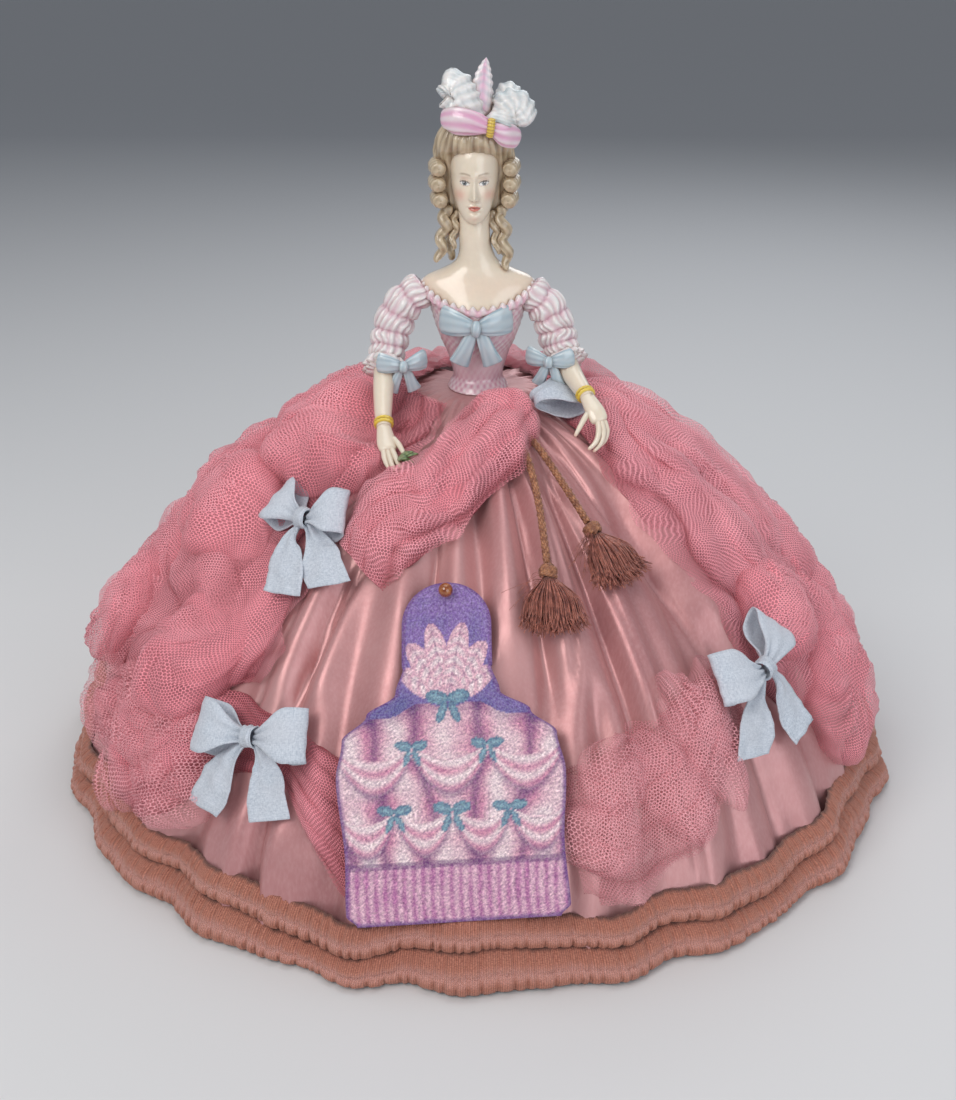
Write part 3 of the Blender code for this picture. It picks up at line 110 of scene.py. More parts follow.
def clothPlace(tree):
    return addNode(tree, "ShaderNodeUVMap", {"uv_map": "cloth"}).outputs[0]


def painted(tree):
    return addNode(tree, "ShaderNodeVertexColor", {"layer_name": "paint"}).outputs["Color"]


def stretched(tree, vector, scale):
    inputs = {"Vector": vector, "Scale": scale}
    return addNode(tree, "ShaderNodeMapping", None, inputs).outputs[0]


def bumped(tree, shader, height, strength, distance):
    inputs = {"Height": height, "Strength": strength, "Distance": distance}
    feed(tree, addNode(tree, "ShaderNodeBump", None, inputs).outputs[0], shader, "Normal")


# Camera, light and floor

cameraSettings = {"place": (0.0, -0.6307, 0.4049), "pitch": 63.77, "lens": 49.09}
# Name, place, size, power and colour
lightSettings = (
    ("keyLight", (-0.55, -0.75, 0.95), 0.75, 5.6, (1.0, 0.97, 0.94)),
    ("fillLight", (0.60, -0.95, 0.42), 0.9, 3.4, (0.93, 0.96, 1.0)),
    ("topLight", (0.0, 0.15, 1.25), 0.9, 2.8, (1.0, 1.0, 1.0)),
    ("backLight", (0.35, 0.95, 0.75), 0.7, 2.4, (0.95, 0.97, 1.0)),
)
lightAim = Vector((0, 0, 0.12))
# The floor is painted darker towards the back: painted shade standing for the lamps' light falling off.
floorSettings = {"size": 30, "near": (0.70, 0.70, 0.70), "far": (0.26, 0.27, 0.29), "paintedFalloff": (0.12, 1.5)}
roomSettings = {"colour": (0.72, 0.75, 0.80), "strength": 0.55}


def addCamera():
    bpy.ops.object.camera_add(location=cameraSettings["place"])
    camera = bpy.context.active_object
    camera.name = "photoCamera"
    camera.rotation_euler = (math.radians(cameraSettings["pitch"]), 0, 0)
    camera.data.lens = cameraSettings["lens"]
    camera.data.sensor_width = 36
    bpy.context.scene.camera = camera


def addLights():
    for name, place, size, power, colour in lightSettings:
        bpy.ops.object.light_add(type="AREA", location=place)
        light = bpy.context.active_object
        light.name = name
        light.data.shape = "DISK"
        light.data.size = size
        light.data.energy = power
        light.data.color = colour
        aim = lightAim - Vector(place)
        light.rotation_euler = aim.to_track_quat("-Z", "Y").to_euler()


def addFloor():
    bpy.ops.mesh.primitive_plane_add(size=floorSettings["size"], location=(0, 0, -0.0002))
    floor = bpy.context.active_object
    floor.name = "floor"
    bpy.ops.object.transform_apply(location=True, rotation=False, scale=False)
    material, tree, shader = startMaterial("paleFloor", floorSettings["near"], 0.7)
    parts = addNode(tree, "ShaderNodeSeparateXYZ", None, {0: placed(tree)})
    # Painted shade: the floor's colour darkens from near to far.
    paintedFalloff = remap(tree, parts.outputs[1], *floorSettings["paintedFalloff"])
    feed(tree, mixColour(tree, paintedFalloff, floorSettings["near"], floorSettings["far"]), shader)
    floor.data.materials.append(material)


def addRoom():
    world = bpy.data.worlds.new("paleRoom")
    world.use_nodes = True
    background = world.node_tree.nodes["Background"]
    background.inputs["Color"].default_value = (*roomSettings["colour"], 1)
    background.inputs["Strength"].default_value = roomSettings["strength"]
    scene = bpy.context.scene
    scene.world = world
    scene.view_settings.view_transform = "Standard"
    scene.cycles.transparent_max_bounces = 32  # a ray may cross many layers of net


addCamera()
addLights()
addFloor()
addRoom()
print("stage: camera and light")

# The net's threads


netPhase = 4 * math.pi / math.sqrt(3)  # turns one hole's width into the three waves' phase


# The threads of a net with six-sided holes, from cloth coordinates in metres.
def netGroup():
    group = bpy.data.node_groups.new("netThreads", "ShaderNodeTree")
    sockets = (("Cloth", "INPUT", "Vector"), ("Pitch", "INPUT", "Float"), ("Thread", "OUTPUT", "Float"))
    for name, way, kind in sockets:
        group.interface.new_socket(name, in_out=way, socket_type="NodeSocket" + kind)
    start = group.nodes.new("NodeGroupInput")
    end = group.nodes.new("NodeGroupOutput")
    parts = addNode(group, "ShaderNodeSeparateXYZ", None, {0: start.outputs[0]})
    turnsPerMetre = calc(group, "DIVIDE", netPhase, start.outputs[1])
    waves = []
    for angle in (0, 60, 120):
        right = calc(group, "MULTIPLY", parts.outputs[0], math.cos(math.radians(angle)))
        up = calc(group, "MULTIPLY", parts.outputs[1], math.sin(math.radians(angle)))
        reach = calc(group, "MULTIPLY", calc(group, "ADD", right, up), turnsPerMetre)
        waves.append(calc(group, "COSINE", reach))
    total = calc(group, "ADD", calc(group, "ADD", waves[0], waves[1]), waves[2])
    group.links.new(remap(group, total, -1.05, -0.25, 1.0, 0.0), end.inputs[0])
    return group


netThreads = netGroup()

# Materials


def satinMaterial():
    material, tree, shader = startMaterial("satinDress", (0.56, 0.29, 0.29), 0.36, {
        "Metallic": 0.34, "Sheen Weight": 0.25, "Sheen Roughness": 0.4,
        "Sheen Tint": (1.0, 0.75, 0.72, 1),
    })
    place = placed(tree)
    broad = remap(tree, noiseOf(tree, place, 14.0, 3.0), 0.35, 0.68)
    tone = mixColour(tree, broad, (0.47, 0.205, 0.21), (0.60, 0.31, 0.305))
    slub = noiseOf(tree, stretched(tree, place, (900, 900, 60)), 1.0, 2.0)
    tone = mixColour(tree, remap(tree, slub, 0.40, 0.8, 0.0, 0.45), tone, (0.62, 0.35, 0.345))
    feed(tree, tone, shader)
    feed(tree, remap(tree, noiseOf(tree, place, 160.0, 3.0), 0.3, 0.7, 0.33, 0.42), shader, "Roughness")
    wrinkle = noiseOf(tree, stretched(tree, place, (90, 90, 28)), 1.0, 3.0)
    height = calc(tree, "ADD", wrinkle, calc(tree, "MULTIPLY", slub, 0.12))
    bumped(tree, shader, height, 0.22, 0.0012)
    return material


def tulleMaterial(name, colour, haze, pitch=0.00125, thread=0.94, cloudy=0.30):
    material, tree, shader = startMaterial(name, colour, 0.75, {
        "Sheen Weight": 0.5, "Sheen Tint": (1.0, 0.66, 0.70, 1),
    })
    cloth = clothPlace(tree)
    wander = addNode(tree, "ShaderNodeTexNoise", None, {"Vector": cloth, "Scale": 90.0, "Detail": 2.0})
    shift = vectorCalc(tree, "SUBTRACT", {0: wander.outputs["Color"], 1: (0.5, 0.5, 0.5)})
    small = vectorCalc(tree, "SCALE", {0: shift, "Scale": 0.0018})
    crushed = vectorCalc(tree, "ADD", {0: cloth, 1: small})
    net = addNode(tree, "ShaderNodeGroup", {"node_tree": netThreads}, {0: crushed, 1: pitch})
    doubled = remap(tree, noiseOf(tree, placed(tree), 55.0, 3.0), 0.42, 0.62)
    gaps = remap(tree, doubled, 0.0, 1.0, haze, min(1.0, haze + cloudy))
    alpha = mixColour(tree, net.outputs[0], (0.0, 0.0, 0.0), (thread, thread, thread))
    feed(tree, calc(tree, "MAXIMUM", alpha, gaps), shader, "Alpha")
    tone = remap(tree, noiseOf(tree, placed(tree), 30.0, 2.0), 0.35, 0.65)
    light = tuple(min(1.0, c * 1.10 + 0.04) for c in colour)
    body = mixColour(tree, tone, colour, light)
    # The holes between threads are painted darker as shade, and the colour is multiplied by the painted light
    # and shade in the paint attribute.
    shaded = mixColour(tree, net.outputs[0], tuple(c * 0.80 for c in colour), body)
    feed(tree, mixColour(tree, 1.0, shaded, painted(tree), "MULTIPLY"), shader)
    return material


def chiffonMaterial():
    material, tree, shader = startMaterial("greyBlueChiffon", (0.50, 0.55, 0.62), 0.85, {
        "Sheen Weight": 0.3,
    })
    cloth = clothPlace(tree)
    crepe = noiseOf(tree, stretched(tree, cloth, (1500, 700, 1)), 1.0, 2.0, 0.7)
    cross = noiseOf(tree, stretched(tree, cloth, (500, 1900, 1)), 1.0, 2.0, 0.7)
    grain = calc(tree, "MULTIPLY", calc(tree, "ADD", crepe, cross), 0.5)
    tone = mixColour(tree, remap(tree, grain, 0.38, 0.64), (0.43, 0.485, 0.56), (0.68, 0.725, 0.79))
    broad = remap(tree, noiseOf(tree, placed(tree), 60.0, 2.0), 0.35, 0.7)
    tone = mixColour(tree, calc(tree, "MULTIPLY", broad, 0.35), tone, (0.62, 0.62, 0.66))
    feed(tree, tone, shader)
    bumped(tree, shader, grain, 0.55, 0.0006)
    return material


def braidMaterial():
    material, tree, shader = startMaterial("rustBraid", (0.42, 0.15, 0.10), 0.6, {
        "Sheen Weight": 0.25, "Sheen Tint": (1.0, 0.7, 0.6, 1),
    })
    cloth = clothPlace(tree)
    parts = addNode(tree, "ShaderNodeSeparateXYZ", None, {0: cloth})
    ribs = calc(tree, "SINE", calc(tree, "MULTIPLY", parts.outputs[0], 2 * math.pi / 0.00085))
    uneven = noiseOf(tree, stretched(tree, cloth, (900, 60, 1)), 1.0, 3.0)
    tone = mixColour(tree, remap(tree, uneven, 0.3, 0.7), (0.29, 0.080, 0.050), (0.68, 0.28, 0.19))
    # The grooves between ribs are painted dark: painted shade.
    tone = mixColour(tree, remap(tree, ribs, -1.0, -0.2, 0.55, 0.0), tone, (0.15, 0.045, 0.03))
    # Pink flecks along the gathering thread: the thread's own pink, brightened as painted glints.
    fleck = noiseOf(tree, stretched(tree, cloth, (1500, 1300, 1)), 1.0, 1.0)
    across = calc(tree, "ABSOLUTE", calc(tree, "SUBTRACT", parts.outputs[1], 0.5))
    nearThread = remap(tree, across, 0.05, 0.24, 1.0, 0.0)
    sparkle = calc(tree, "MULTIPLY", remap(tree, fleck, 0.50, 0.60), nearThread)
    tone = mixColour(tree, calc(tree, "MULTIPLY", sparkle, 0.95), tone, (0.86, 0.50, 0.47))
    # Dark along each row's edges: partly dark thread edges, partly painted shadow where the braid meets the
    # satin.
    edge = remap(tree, across, 0.42, 0.48)
    tone = mixColour(tree, calc(tree, "MULTIPLY", edge, 0.8), tone, (0.07, 0.035, 0.03))
    feed(tree, tone, shader)
    bumped(tree, shader, calc(tree, "ADD", ribs, calc(tree, "MULTIPLY", fleck, 0.8)), 0.5, 0.0005)
    return material


def threadMaterial(name, dark, light, roughness=0.45):
    material, tree, shader = startMaterial(name, light, roughness, {"Sheen Weight": 0.2})
    cloth = clothPlace(tree)
    parts = addNode(tree, "ShaderNodeSeparateXYZ", None, {0: cloth})
    ahead, around = (calc(tree, "MULTIPLY", parts.outputs[k], turns) for k, turns in ((0, 5200), (1, 19)))
    yarn = calc(tree, "SINE", calc(tree, "ADD", ahead, around))
    spread = noiseOf(tree, placed(tree), 420.0, 3.0)
    tone = mixColour(tree, remap(tree, spread, 0.35, 0.65), dark, light)
    # The grooves between twisted plies are painted dark: painted shade.
    tone = mixColour(tree, remap(tree, yarn, -1.0, 0.0, 0.5, 0.0), tone, tuple(c * 0.35 for c in dark))
    feed(tree, tone, shader)
    bumped(tree, shader, yarn, 0.4, 0.0002)
    return material


satin = satinMaterial()
tulleFine = tulleMaterial("coralNet", (0.86, 0.27, 0.32), 0.22)
# A darker copy of the same coral net laid underneath: painted shade beneath the puffs.
tulleShadowed = tulleMaterial("coralNetShadowBeneath", (0.48, 0.085, 0.115), 0.80)
tulleSheer = tulleMaterial("coralNetSheer", (0.88, 0.36, 0.40), 0.02, 0.0014, 0.62, 0.10)
tulleVeil = tulleMaterial("coralNetVeil", (0.88, 0.33, 0.38), 0.06, 0.0014)
chiffon = chiffonMaterial()
braid = braidMaterial()
cordThread = threadMaterial("copperCord", (0.23, 0.075, 0.035), (0.50, 0.215, 0.10))
tasselThread = threadMaterial("copperFringe", (0.26, 0.06, 0.04), (0.66, 0.22, 0.15), 0.36)

# Shapes laid on the dome, with the same sizes as the CAD source

waistHeight = 0.176
hemRadius = 0.187
waistRadius = 0.020
domeShoulder = 1.474
domeFullness = 0.726
foldCount = 20
foldDepth = 0.0032
boardTop = 0.0043
tableSteps = 2400


def ease(t):
    t = max(0.0, min(1.0, t))
    return t * t * (3 - 2 * t)


def blend(first, second, share):
    share = max(0.0, min(1.0, share))
    return tuple(a + (b - a) * share for a, b in zip(first, second))


def domeRadius(height):
    share = max(0.0, 1 - (max(height, 0.0) / waistHeight) ** domeShoulder)
    return waistRadius + (hemRadius - waistRadius) * share**domeFullness


# The height at even steps down the slope, and the slope's length.
def slopeHeights():
    table = [(0.0, waistHeight)]
    for k in range(1, 601):
        height = waistHeight - (waistHeight - boardTop) * (k / 600) ** 2
        walked, above = table[-1]
        step = math.hypot(domeRadius(height) - domeRadius(above), above - height)
        table.append((walked + step, height))
    total = table[-1][0]
    heights = []
    row = 0
    for k in range(tableSteps + 1):
        want = total * k / tableSteps
        while row < len(table) - 2 and table[row + 1][0] < want:
            row += 1
        (before, high), (after, low) = table[row], table[row + 1]
        heights.append(high + (low - high) * (want - before) / (after - before))
    return heights, total


heights, slopeLength = slopeHeights()


def heightAt(share):
    place = max(0.0, min(1.0, share)) * tableSteps
    low = min(int(place), tableSteps - 1)
    return heights[low] + (heights[low + 1] - heights[low]) * (place - low)


def domeFold(angle, height):
    spread = ease((domeRadius(height) - waistRadius) / (2.4 * waistRadius))
    wide = math.cos(foldCount * angle + 1.2 * math.sin(3 * angle))
    narrow = math.cos(round(1.6 * foldCount) * angle + 2.0 + 0.8 * math.sin(2 * angle))
    behind = ease((abs(math.degrees(math.remainder(angle, 2 * math.pi))) - 95.0) / 15)
    front = foldDepth * (0.62 * wide + 0.38 * narrow) * (1 - 0.75 * behind)
    return spread * (front + 0.0036 * math.cos(24 * angle) * behind)


def domeNormal(angle, height):
    step = 0.0005
    fall = (domeRadius(height - step) - domeRadius(min(height + step, waistHeight))) / (2 * step)
    return Vector((math.sin(angle), -math.cos(angle), fall)).normalized()


def domePoint(azimuth, share, lift=0.0):
    angle = math.radians(azimuth)
    height = heightAt(share)
    radius = domeRadius(height) + domeFold(angle, height)
    foot = Vector((radius * math.sin(angle), -radius * math.cos(angle), height))
    return foot + domeNormal(angle, height) * lift


# A place on the dome with its own right, up and out, in metres.
class Patch:
    def __init__(self, place, tilt=0.0):
        self.azimuth, self.share = place
        self.tilt = math.radians(tilt)
        self.out = domeNormal(math.radians(self.azimuth), heightAt(self.share))

    def point(self, right, up, out):
        turnedRight = right * math.cos(self.tilt) - up * math.sin(self.tilt)
        turnedUp = right * math.sin(self.tilt) + up * math.cos(self.tilt)
        share = self.share - turnedUp / slopeLength
        middle = heightAt(self.share - turnedUp / slopeLength / 2)
        angle = math.radians(self.azimuth) + turnedRight / domeRadius(middle)
        height = heightAt(share)
        radius = domeRadius(height) + foldDepth
        foot = Vector((radius * math.sin(angle), -radius * math.cos(angle), height))
        return foot + domeNormal(angle, height) * out


# Evenly stepped points on a smooth curve through the given ones.
def flow(points, count):
    last = len(points) - 1
    made = []
    for k in range(count + 1):
        reach = last * k / count
        i = min(int(reach), last - 1)
        t = reach - i
        near = [points[min(max(i + n, 0), last)] for n in (-1, 0, 1, 2)]
        spot = []
        for p, q, r, s in zip(*near):
            bend = (r - p) * t + (2 * p - 5 * q + 4 * r - s) * t * t + (3 * q - p - 3 * r + s) * t**3
            spot.append(0.5 * (2 * q + bend))
        made.append(spot)
    return made


def along(points, count):
    return [Vector(spot) for spot in flow(points, count)]


# The faces between rows of points, whose first point has the number given.
def rowFaces(rows, first=0, around=True):
    wide = len(rows[0])
    faces = []
    for i in range(len(rows) - 1):
        start = first + i * wide
        for j in range(wide if around else wide - 1):
            k = (j + 1) % wide
            faces.append((start + j, start + k, start + wide + k, start + wide + j))
    return faces


# A piece from rows of points, with cloth coordinates and painted colours where they are given.
def gridPiece(name, rows, material, cloth=None, around=False, paint=None, outward=False):
    faces = rowFaces(rows, 0, around)
    return meshPiece(name, flat(rows), faces, material, cloth and flat(cloth), paint and flat(paint), outward)


def flat(rows):
    return [item for row in rows for item in row]


def meshPiece(name, points, faces, material, cloth=None, paint=None, outward=False):
    mesh = bpy.data.meshes.new(name)
    mesh.from_pydata(points, [], faces)
    if cloth:
        layer = mesh.uv_layers.new(name="cloth")
        layer.data.foreach_set("uv", flat([cloth[loop.vertex_index] for loop in mesh.loops]))
    if paint:
        layer = mesh.color_attributes.new("paint", "FLOAT_COLOR", "POINT")
        layer.data.foreach_set("color", flat([(*colour[:3], 1.0) for colour in paint]))
    mesh.materials.append(material)
    mesh.shade_smooth()
    piece = bpy.data.objects.new(name, mesh)
    bpy.context.scene.collection.objects.link(piece)
    if outward:
        chooseOnly(piece)
        bpy.ops.object.mode_set(mode="EDIT")
        bpy.ops.mesh.select_all(action="SELECT")
        bpy.ops.mesh.normals_make_consistent(inside=False)
        bpy.ops.object.mode_set(mode="OBJECT")
    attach(piece, "root")
    return piece


def chooseOnly(piece):
    bpy.ops.object.select_all(action="DESELECT")
    piece.select_set(True)
    bpy.context.view_layer.objects.active = piece


# Cloth coordinates in metres, measured over the finished surface.
def clothLengths(rows):
    cloth = []
    for row in rows:
        walked = [0.0]
        for before, point in zip(row, row[1:]):
            walked.append(walked[-1] + (point - before).length)
        cloth.append([[w - walked[-1] / 2, 0.0] for w in walked])
    length = 0.0
    for i in range(1, len(rows)):
        steps = [(a - b).length for a, b in zip(rows[i], rows[i - 1])]
        length += sum(steps) / len(steps)
        for spot in cloth[i]:
            spot[1] = length
    return cloth


def thicken(piece, thickness):
    chooseOnly(piece)
    modifier = piece.modifiers.new("ply", "SOLIDIFY")
    modifier.thickness = thickness
    modifier.offset = 0
    bpy.ops.object.modifier_apply(modifier=modifier.name)


# Where bows, card, cords and arms hold the net down: azimuth, share, reach across and down in metres
heldDown = (
    (-46.6, 0.35, 0.020, 0.024),
    (-50.0, 0.47, 0.026, 0.034),
    (-33.5, 0.70, 0.024, 0.024),
    (48.8, 0.65, 0.022, 0.026),
    (-4.2, 0.66, 0.040, 0.060),
    (-50.0, 0.10, 0.020, 0.020),
    (60.0, 0.07, 0.016, 0.014),
)


def heldAt(place):
    found = 0.0
    radius = domeRadius(heightAt(place.y))
    for azimuth, share, wide, high in heldDown:
        right = math.radians(place.x - azimuth) * radius / wide
        down = (place.y - share) * slopeLength / high
        found = max(found, math.exp(-(right**4) - down**4))
    return found


# Satin skirt

skirtSettings = {"sides": 520, "rings": 96, "tip": 0.3 * mm, "gathers": 46, "puckers": 88}
# Creases: azimuth and share at the top and at the bottom, width and depth in millimetres
creases = (
    (-31.3, 0.40, -29.6, 0.995, 3.2, 4.2),
    (-24.0, 0.40, -18.0, 0.99, 5.5, 2.2),
    (-1.5, 0.20, 1.5, 0.50, 4.0, 4.0),
    (25.0, 0.22, 25.0, 0.80, 3.0, 4.4),
    (33.0, 0.10, 33.0, 0.62, 4.0, 2.6),
    (15.0, 0.12, 12.0, 0.60, 3.6, 2.4),
    (44.0, 0.30, 35.0, 0.95, 5.0, 2.6),
    (-13.0, 0.36, -11.0, 0.60, 4.0, 2.4),
    (19.0, 0.60, 17.0, 0.99, 4.5, 2.8),
    (55.0, 0.55, 54.0, 0.99, 5.0, 2.4),
    (66.0, 0.60, 67.0, 0.99, 4.0, 2.8),
    (-40.0, 0.72, -42.0, 0.99, 4.5, 2.6),
    (-52.0, 0.75, -54.0, 0.99, 4.0, 2.6),
    (6.0, 0.86, 6.0, 0.99, 3.5, 2.0),
)


def hiddenCreases():
    chosen = random.Random(11)
    made = []
    for k in range(12):
        azimuth = 97.5 + 15 * k + chosen.uniform(-1.2, 1.2)
        top, bottom = chosen.uniform(0.05, 0.2), chosen.uniform(0.8, 0.99)
        depth, width = chosen.uniform(1.8, 3.4), chosen.uniform(3, 5)
        made.append((azimuth, top, azimuth + chosen.uniform(-1.5, 1.5), bottom, width, depth))
    made.append((84.0, 0.15, 85.0, 0.95, 4.0, 2.8))
    made.append((276.0, 0.15, 275.0, 0.95, 4.0, 2.8))
    return tuple(made)


allCreases = creases + hiddenCreases()


# How far the cloth stands from the plain folded dome: creases, gathers and puckers.
def satinRelief(azimuth, share, radius):
    angle = math.radians(azimuth)
    ring = (math.cos(angle), math.sin(angle))
    relief = 0.0
    for k, (scale, depth) in enumerate(((4.0, 2.6), (9.0, 2.0), (22.0, 0.5))):
        spot = Vector((ring[0] * scale, ring[1] * scale, share * 1.5 + 7 * k))
        relief += noise.noise(spot) * depth * (1 - 0.85 * ease((share - 0.84) / 0.10))
    slack = noise.noise(Vector((ring[0] * 5.2, ring[1] * 5.2, share * 0.9 + 31)))
    sag = ease(share / 0.3) * (1 - 0.9 * ease((share - 0.86) / 0.10))
    relief += sag * (4.2 * abs(slack) ** 0.75 - 2.0 * math.exp(-((slack / 0.035) ** 2)) - 0.6)
    for top, start, bottom, end, width, depth in allCreases:
        if not start - 0.08 < share < end + 0.05:
            continue
        t = (share - start) / (end - start)
        centre = top + (bottom - top) * t
        off = math.remainder(azimuth - centre, 360.0)
        if abs(off) > 14:
            continue
        off = math.radians(off) * radius / mm / (1.25 * width)
        held = ease((share - start + 0.08) / 0.12) * ease((end + 0.05 - share) / 0.10)
        sides = math.exp(-((abs(off) - 2.3) ** 2) / 2.2)
        relief += 1.35 * depth * held * (0.40 * sides - math.exp(-off * off))
    gather = math.sin(skirtSettings["gathers"] * angle + 3 * noise.noise(Vector((*ring, 4.0)) * 2.2))
    relief += 1.1 * gather * (1 - ease(share / 0.42)) * ease(share / 0.06)
    pucker = math.sin(skirtSettings["puckers"] * angle + 5 * noise.noise(Vector((*ring, 9.0)) * 3.0))
    relief += 0.9 * pucker * ease((share - 0.84) / 0.14)
    if relief > 0:
        relief *= 1 - heldAt(Vector((math.remainder(azimuth, 360.0), share)))
    return relief * mm * ease(share / 0.03)


def satinSkirt():
    rows = []
    sides = skirtSettings["sides"]
    rings = skirtSettings["rings"]
    turns = [2 * math.pi * i / sides + math.pi for i in range(sides)]
    tip = skirtSettings["tip"]
    rows.append([Vector((tip * math.sin(a), -tip * math.cos(a), waistHeight)) for a in turns])
    for k in range(rings + 1):
        share = k / rings
        height = heightAt(share)
        row = []
        for i in range(sides):
            azimuth = 360.0 * i / sides + 180.0
            relief = satinRelief(azimuth, share, domeRadius(height))
            row.append(domePoint(azimuth, share, relief))
        rows.append(row)
    for inward in (0.96, 0.02):
        rows.append([Vector((p.x * inward, p.y * inward, boardTop)) for p in rows[-1]])
    skirt = gridPiece("satinCover", rows, satin, around=True, outward=True)
    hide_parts("satin_skirt")


satinSkirt()
print("stage: satin skirt")

# Ruched braid round the hem

braidSettings = {"height": 14.0, "flare": 3.0, "wave": 4.0, "columns": 1500, "across": 16}


def braidWave(angle):
    return braidSettings["wave"] * mm * (0.6 * math.sin(7 * angle + 0.7) + 0.4 * math.sin(12 * angle + 2.1))


def seamHeight(angle):
    return braidSettings["height"] * mm + braidWave(angle)


# A ruched row in two puffs, with its gathering thread between them and pleats across.
def braidRow(name, node, lowEdge, highEdge, flare, seed):
    chosen = random.Random(seed)
    columns, across = braidSettings["columns"], braidSettings["across"]
    pleats = []
    turn = 0.0
    while turn < 2 * math.pi:
        pleats.append((turn, chosen.uniform(0.5, 1.0), chosen.uniform(-0.25, 0.25)))
        turn += chosen.uniform(0.014, 0.040)
    rows, cloth = [], []
    nearest = 0
    for i in range(columns + 1):
        angle = 2 * math.pi * i / columns
        while nearest < len(pleats) - 1 and angle > (pleats[nearest][0] + pleats[nearest + 1][0]) / 2:
            nearest += 1
        pleat = pleats[nearest]
        spot = Vector((math.cos(angle), math.sin(angle), seed))
        scallop = 0.8 * mm * noise.noise(spot * 22) + 0.6 * mm * noise.noise(spot * 60)
        sway = angle + math.pi
        low, high = lowEdge(sway), highEdge(sway) + scallop
        low += 0.5 * mm * noise.noise(spot * 40 + Vector((5, 5, 5)))
        row, marks = [], []
        for j in range(across + 1):
            v = j / across
            lean = pleat[2] * (v - 0.5) * 0.02
            off = (angle - pleat[0] - lean) / 0.0042
            slit = pleat[1] * math.exp(-off * off) * (0.35 + 0.65 * abs(math.sin(2 * math.pi * v)))
            puff = abs(math.sin(2 * math.pi * v)) ** 0.7 * (0.55 + 0.45 * math.sin(math.pi * v))
            roll = puff * (1.9 + 1.0 * noise.noise(spot * 34 + Vector((0, 0, v * 1.5))))
            base = 4.0 * math.sin(math.pi * (0.06 + 0.88 * v)) ** 0.6
            out = (base + roll - 2.3 * slit) * mm + flare * mm * (1 - v)
            height = low + (high - low) * v
            radius = domeRadius(height) + domeFold(sway, height) + 0.6 * mm + max(0.0, out)
            row.append(Vector((radius * math.sin(sway), -radius * math.cos(sway), height)))
            marks.append((angle * hemRadius, v))
        rows.append(row)
        cloth.append(marks)
    piece = gridPiece(name, rows, braid, cloth)
    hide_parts(node)


def footHeight(angle):
    return 0.3 * mm


def tuckedHeight(angle):
    return seamHeight(angle) - 0.8 * mm


def topHeight(angle):
    return seamHeight(angle) + braidSettings["height"] * mm * 0.86 + 0.3 * braidWave(angle + 0.4)


braidRow("braidLower", "hem_braid_lower", footHeight, seamHeight, braidSettings["flare"], 3)
braidRow("braidUpper", "hem_braid_upper", tuckedHeight, topHeight, 0.0, 5)
print("stage: hem braid")

# Tulle

sash = (
    ((2, 0.03), (52, 0.03)),
    ((-13, 0.05), (45, 0.06)),
    ((-18, 0.12), (25, 0.13)),
    ((-23, 0.17), (9, 0.20)),
    ((-29, 0.21), (-2, 0.26)),
    ((-36, 0.24), (-11, 0.32)),
    ((-39, 0.28), (-18, 0.37)),
    ((-38, 0.33), (-22, 0.41)),
)
drapeLeft = (
    ((-95, 0.03), (-34, 0.03)),
    ((-108, 0.11), (-30, 0.10)),
    ((-114, 0.24), (-33, 0.18)),
    ((-110, 0.38), (-45, 0.27)),
    ((-104, 0.52), (-49, 0.36)),
    ((-99, 0.65), (-44, 0.46)),
    ((-95, 0.76), (-40, 0.55)),
    ((-90, 0.86), (-42, 0.63)),
)
swagLeft = (
    ((-84, 0.84), (-55, 0.93)),
    ((-68, 0.75), (-48, 0.87)),
    ((-55, 0.68), (-41, 0.79)),
    ((-42, 0.645), (-34, 0.74)),
    ((-31, 0.645), (-26, 0.77)),
    ((-23, 0.68), (-21, 0.84)),
    ((-17, 0.71), (-16, 0.88)),
)
drapeRight = (
    ((106, 0.03), (74, 0.03)),
    ((113, 0.14), (58, 0.12)),
    ((114, 0.28), (50, 0.22)),
    ((109, 0.41), (48, 0.33)),
    ((103, 0.55), (50, 0.45)),
    ((97, 0.70), (51, 0.54)),
    ((92, 0.82), (51, 0.63)),
    ((86, 0.91), (53, 0.72)),
)
swagRight = (
    ((47, 0.61), (46, 0.72)),
    ((38, 0.61), (40, 0.74)),
    ((31, 0.63), (34, 0.79)),
    ((24, 0.66), (28, 0.85)),
    ((17, 0.68), (20, 0.89)),
    ((11, 0.70), (13, 0.88)),
)
drapeBack = (
    ((112, 0.03), (110, 0.40)),
    ((135, 0.03), (135, 0.47)),
    ((160, 0.03), (158, 0.44)),
    ((180, 0.03), (180, 0.48)),
    ((205, 0.03), (203, 0.44)),
    ((228, 0.03), (226, 0.47)),
    ((250, 0.03), (248, 0.41)),
)
# Puffs: azimuth, share, reach across, reach down, turn in degrees, height in metres, swirl
sashPuffs = (
    (24, 0.05, 0.017, 0.017, 0, 0.0100, 0.6),
    (12, 0.13, 0.020, 0.017, 20, 0.0105, -0.8),
    (-9, 0.17, 0.021, 0.017, 30, 0.0100, 0.7),
    (-26, 0.23, 0.021, 0.017, 25, 0.0095, -0.5),
    (-21, 0.33, 0.024, 0.018, 15, 0.0100, 0.4),
)
drapeLeftPuffs = (
    (-52, 0.20, 0.018, 0.020, 0, 0.0085, 0.6),
    (-73, 0.21, 0.030, 0.026, -10, 0.0175, -0.8),
    (-102, 0.20, 0.032, 0.028, 10, 0.0120, 0.9),
    (-77, 0.41, 0.034, 0.024, -8, 0.0200, 1.1),
    (-103, 0.42, 0.026, 0.028, 0, 0.0130, -0.9),
    (-57, 0.49, 0.022, 0.024, 0, 0.0100, 1.2),
    (-87, 0.55, 0.026, 0.018, -20, 0.0120, 0.7),
    (-80, 0.69, 0.024, 0.027, 0, 0.0195, 3.4),
    (-97, 0.68, 0.020, 0.030, 0, 0.0110, -0.8),
    (-54, 0.63, 0.024, 0.025, 0, 0.0150, -1.8),
    (-46, 0.53, 0.012, 0.030, 0, 0.0085, 0.6),
)
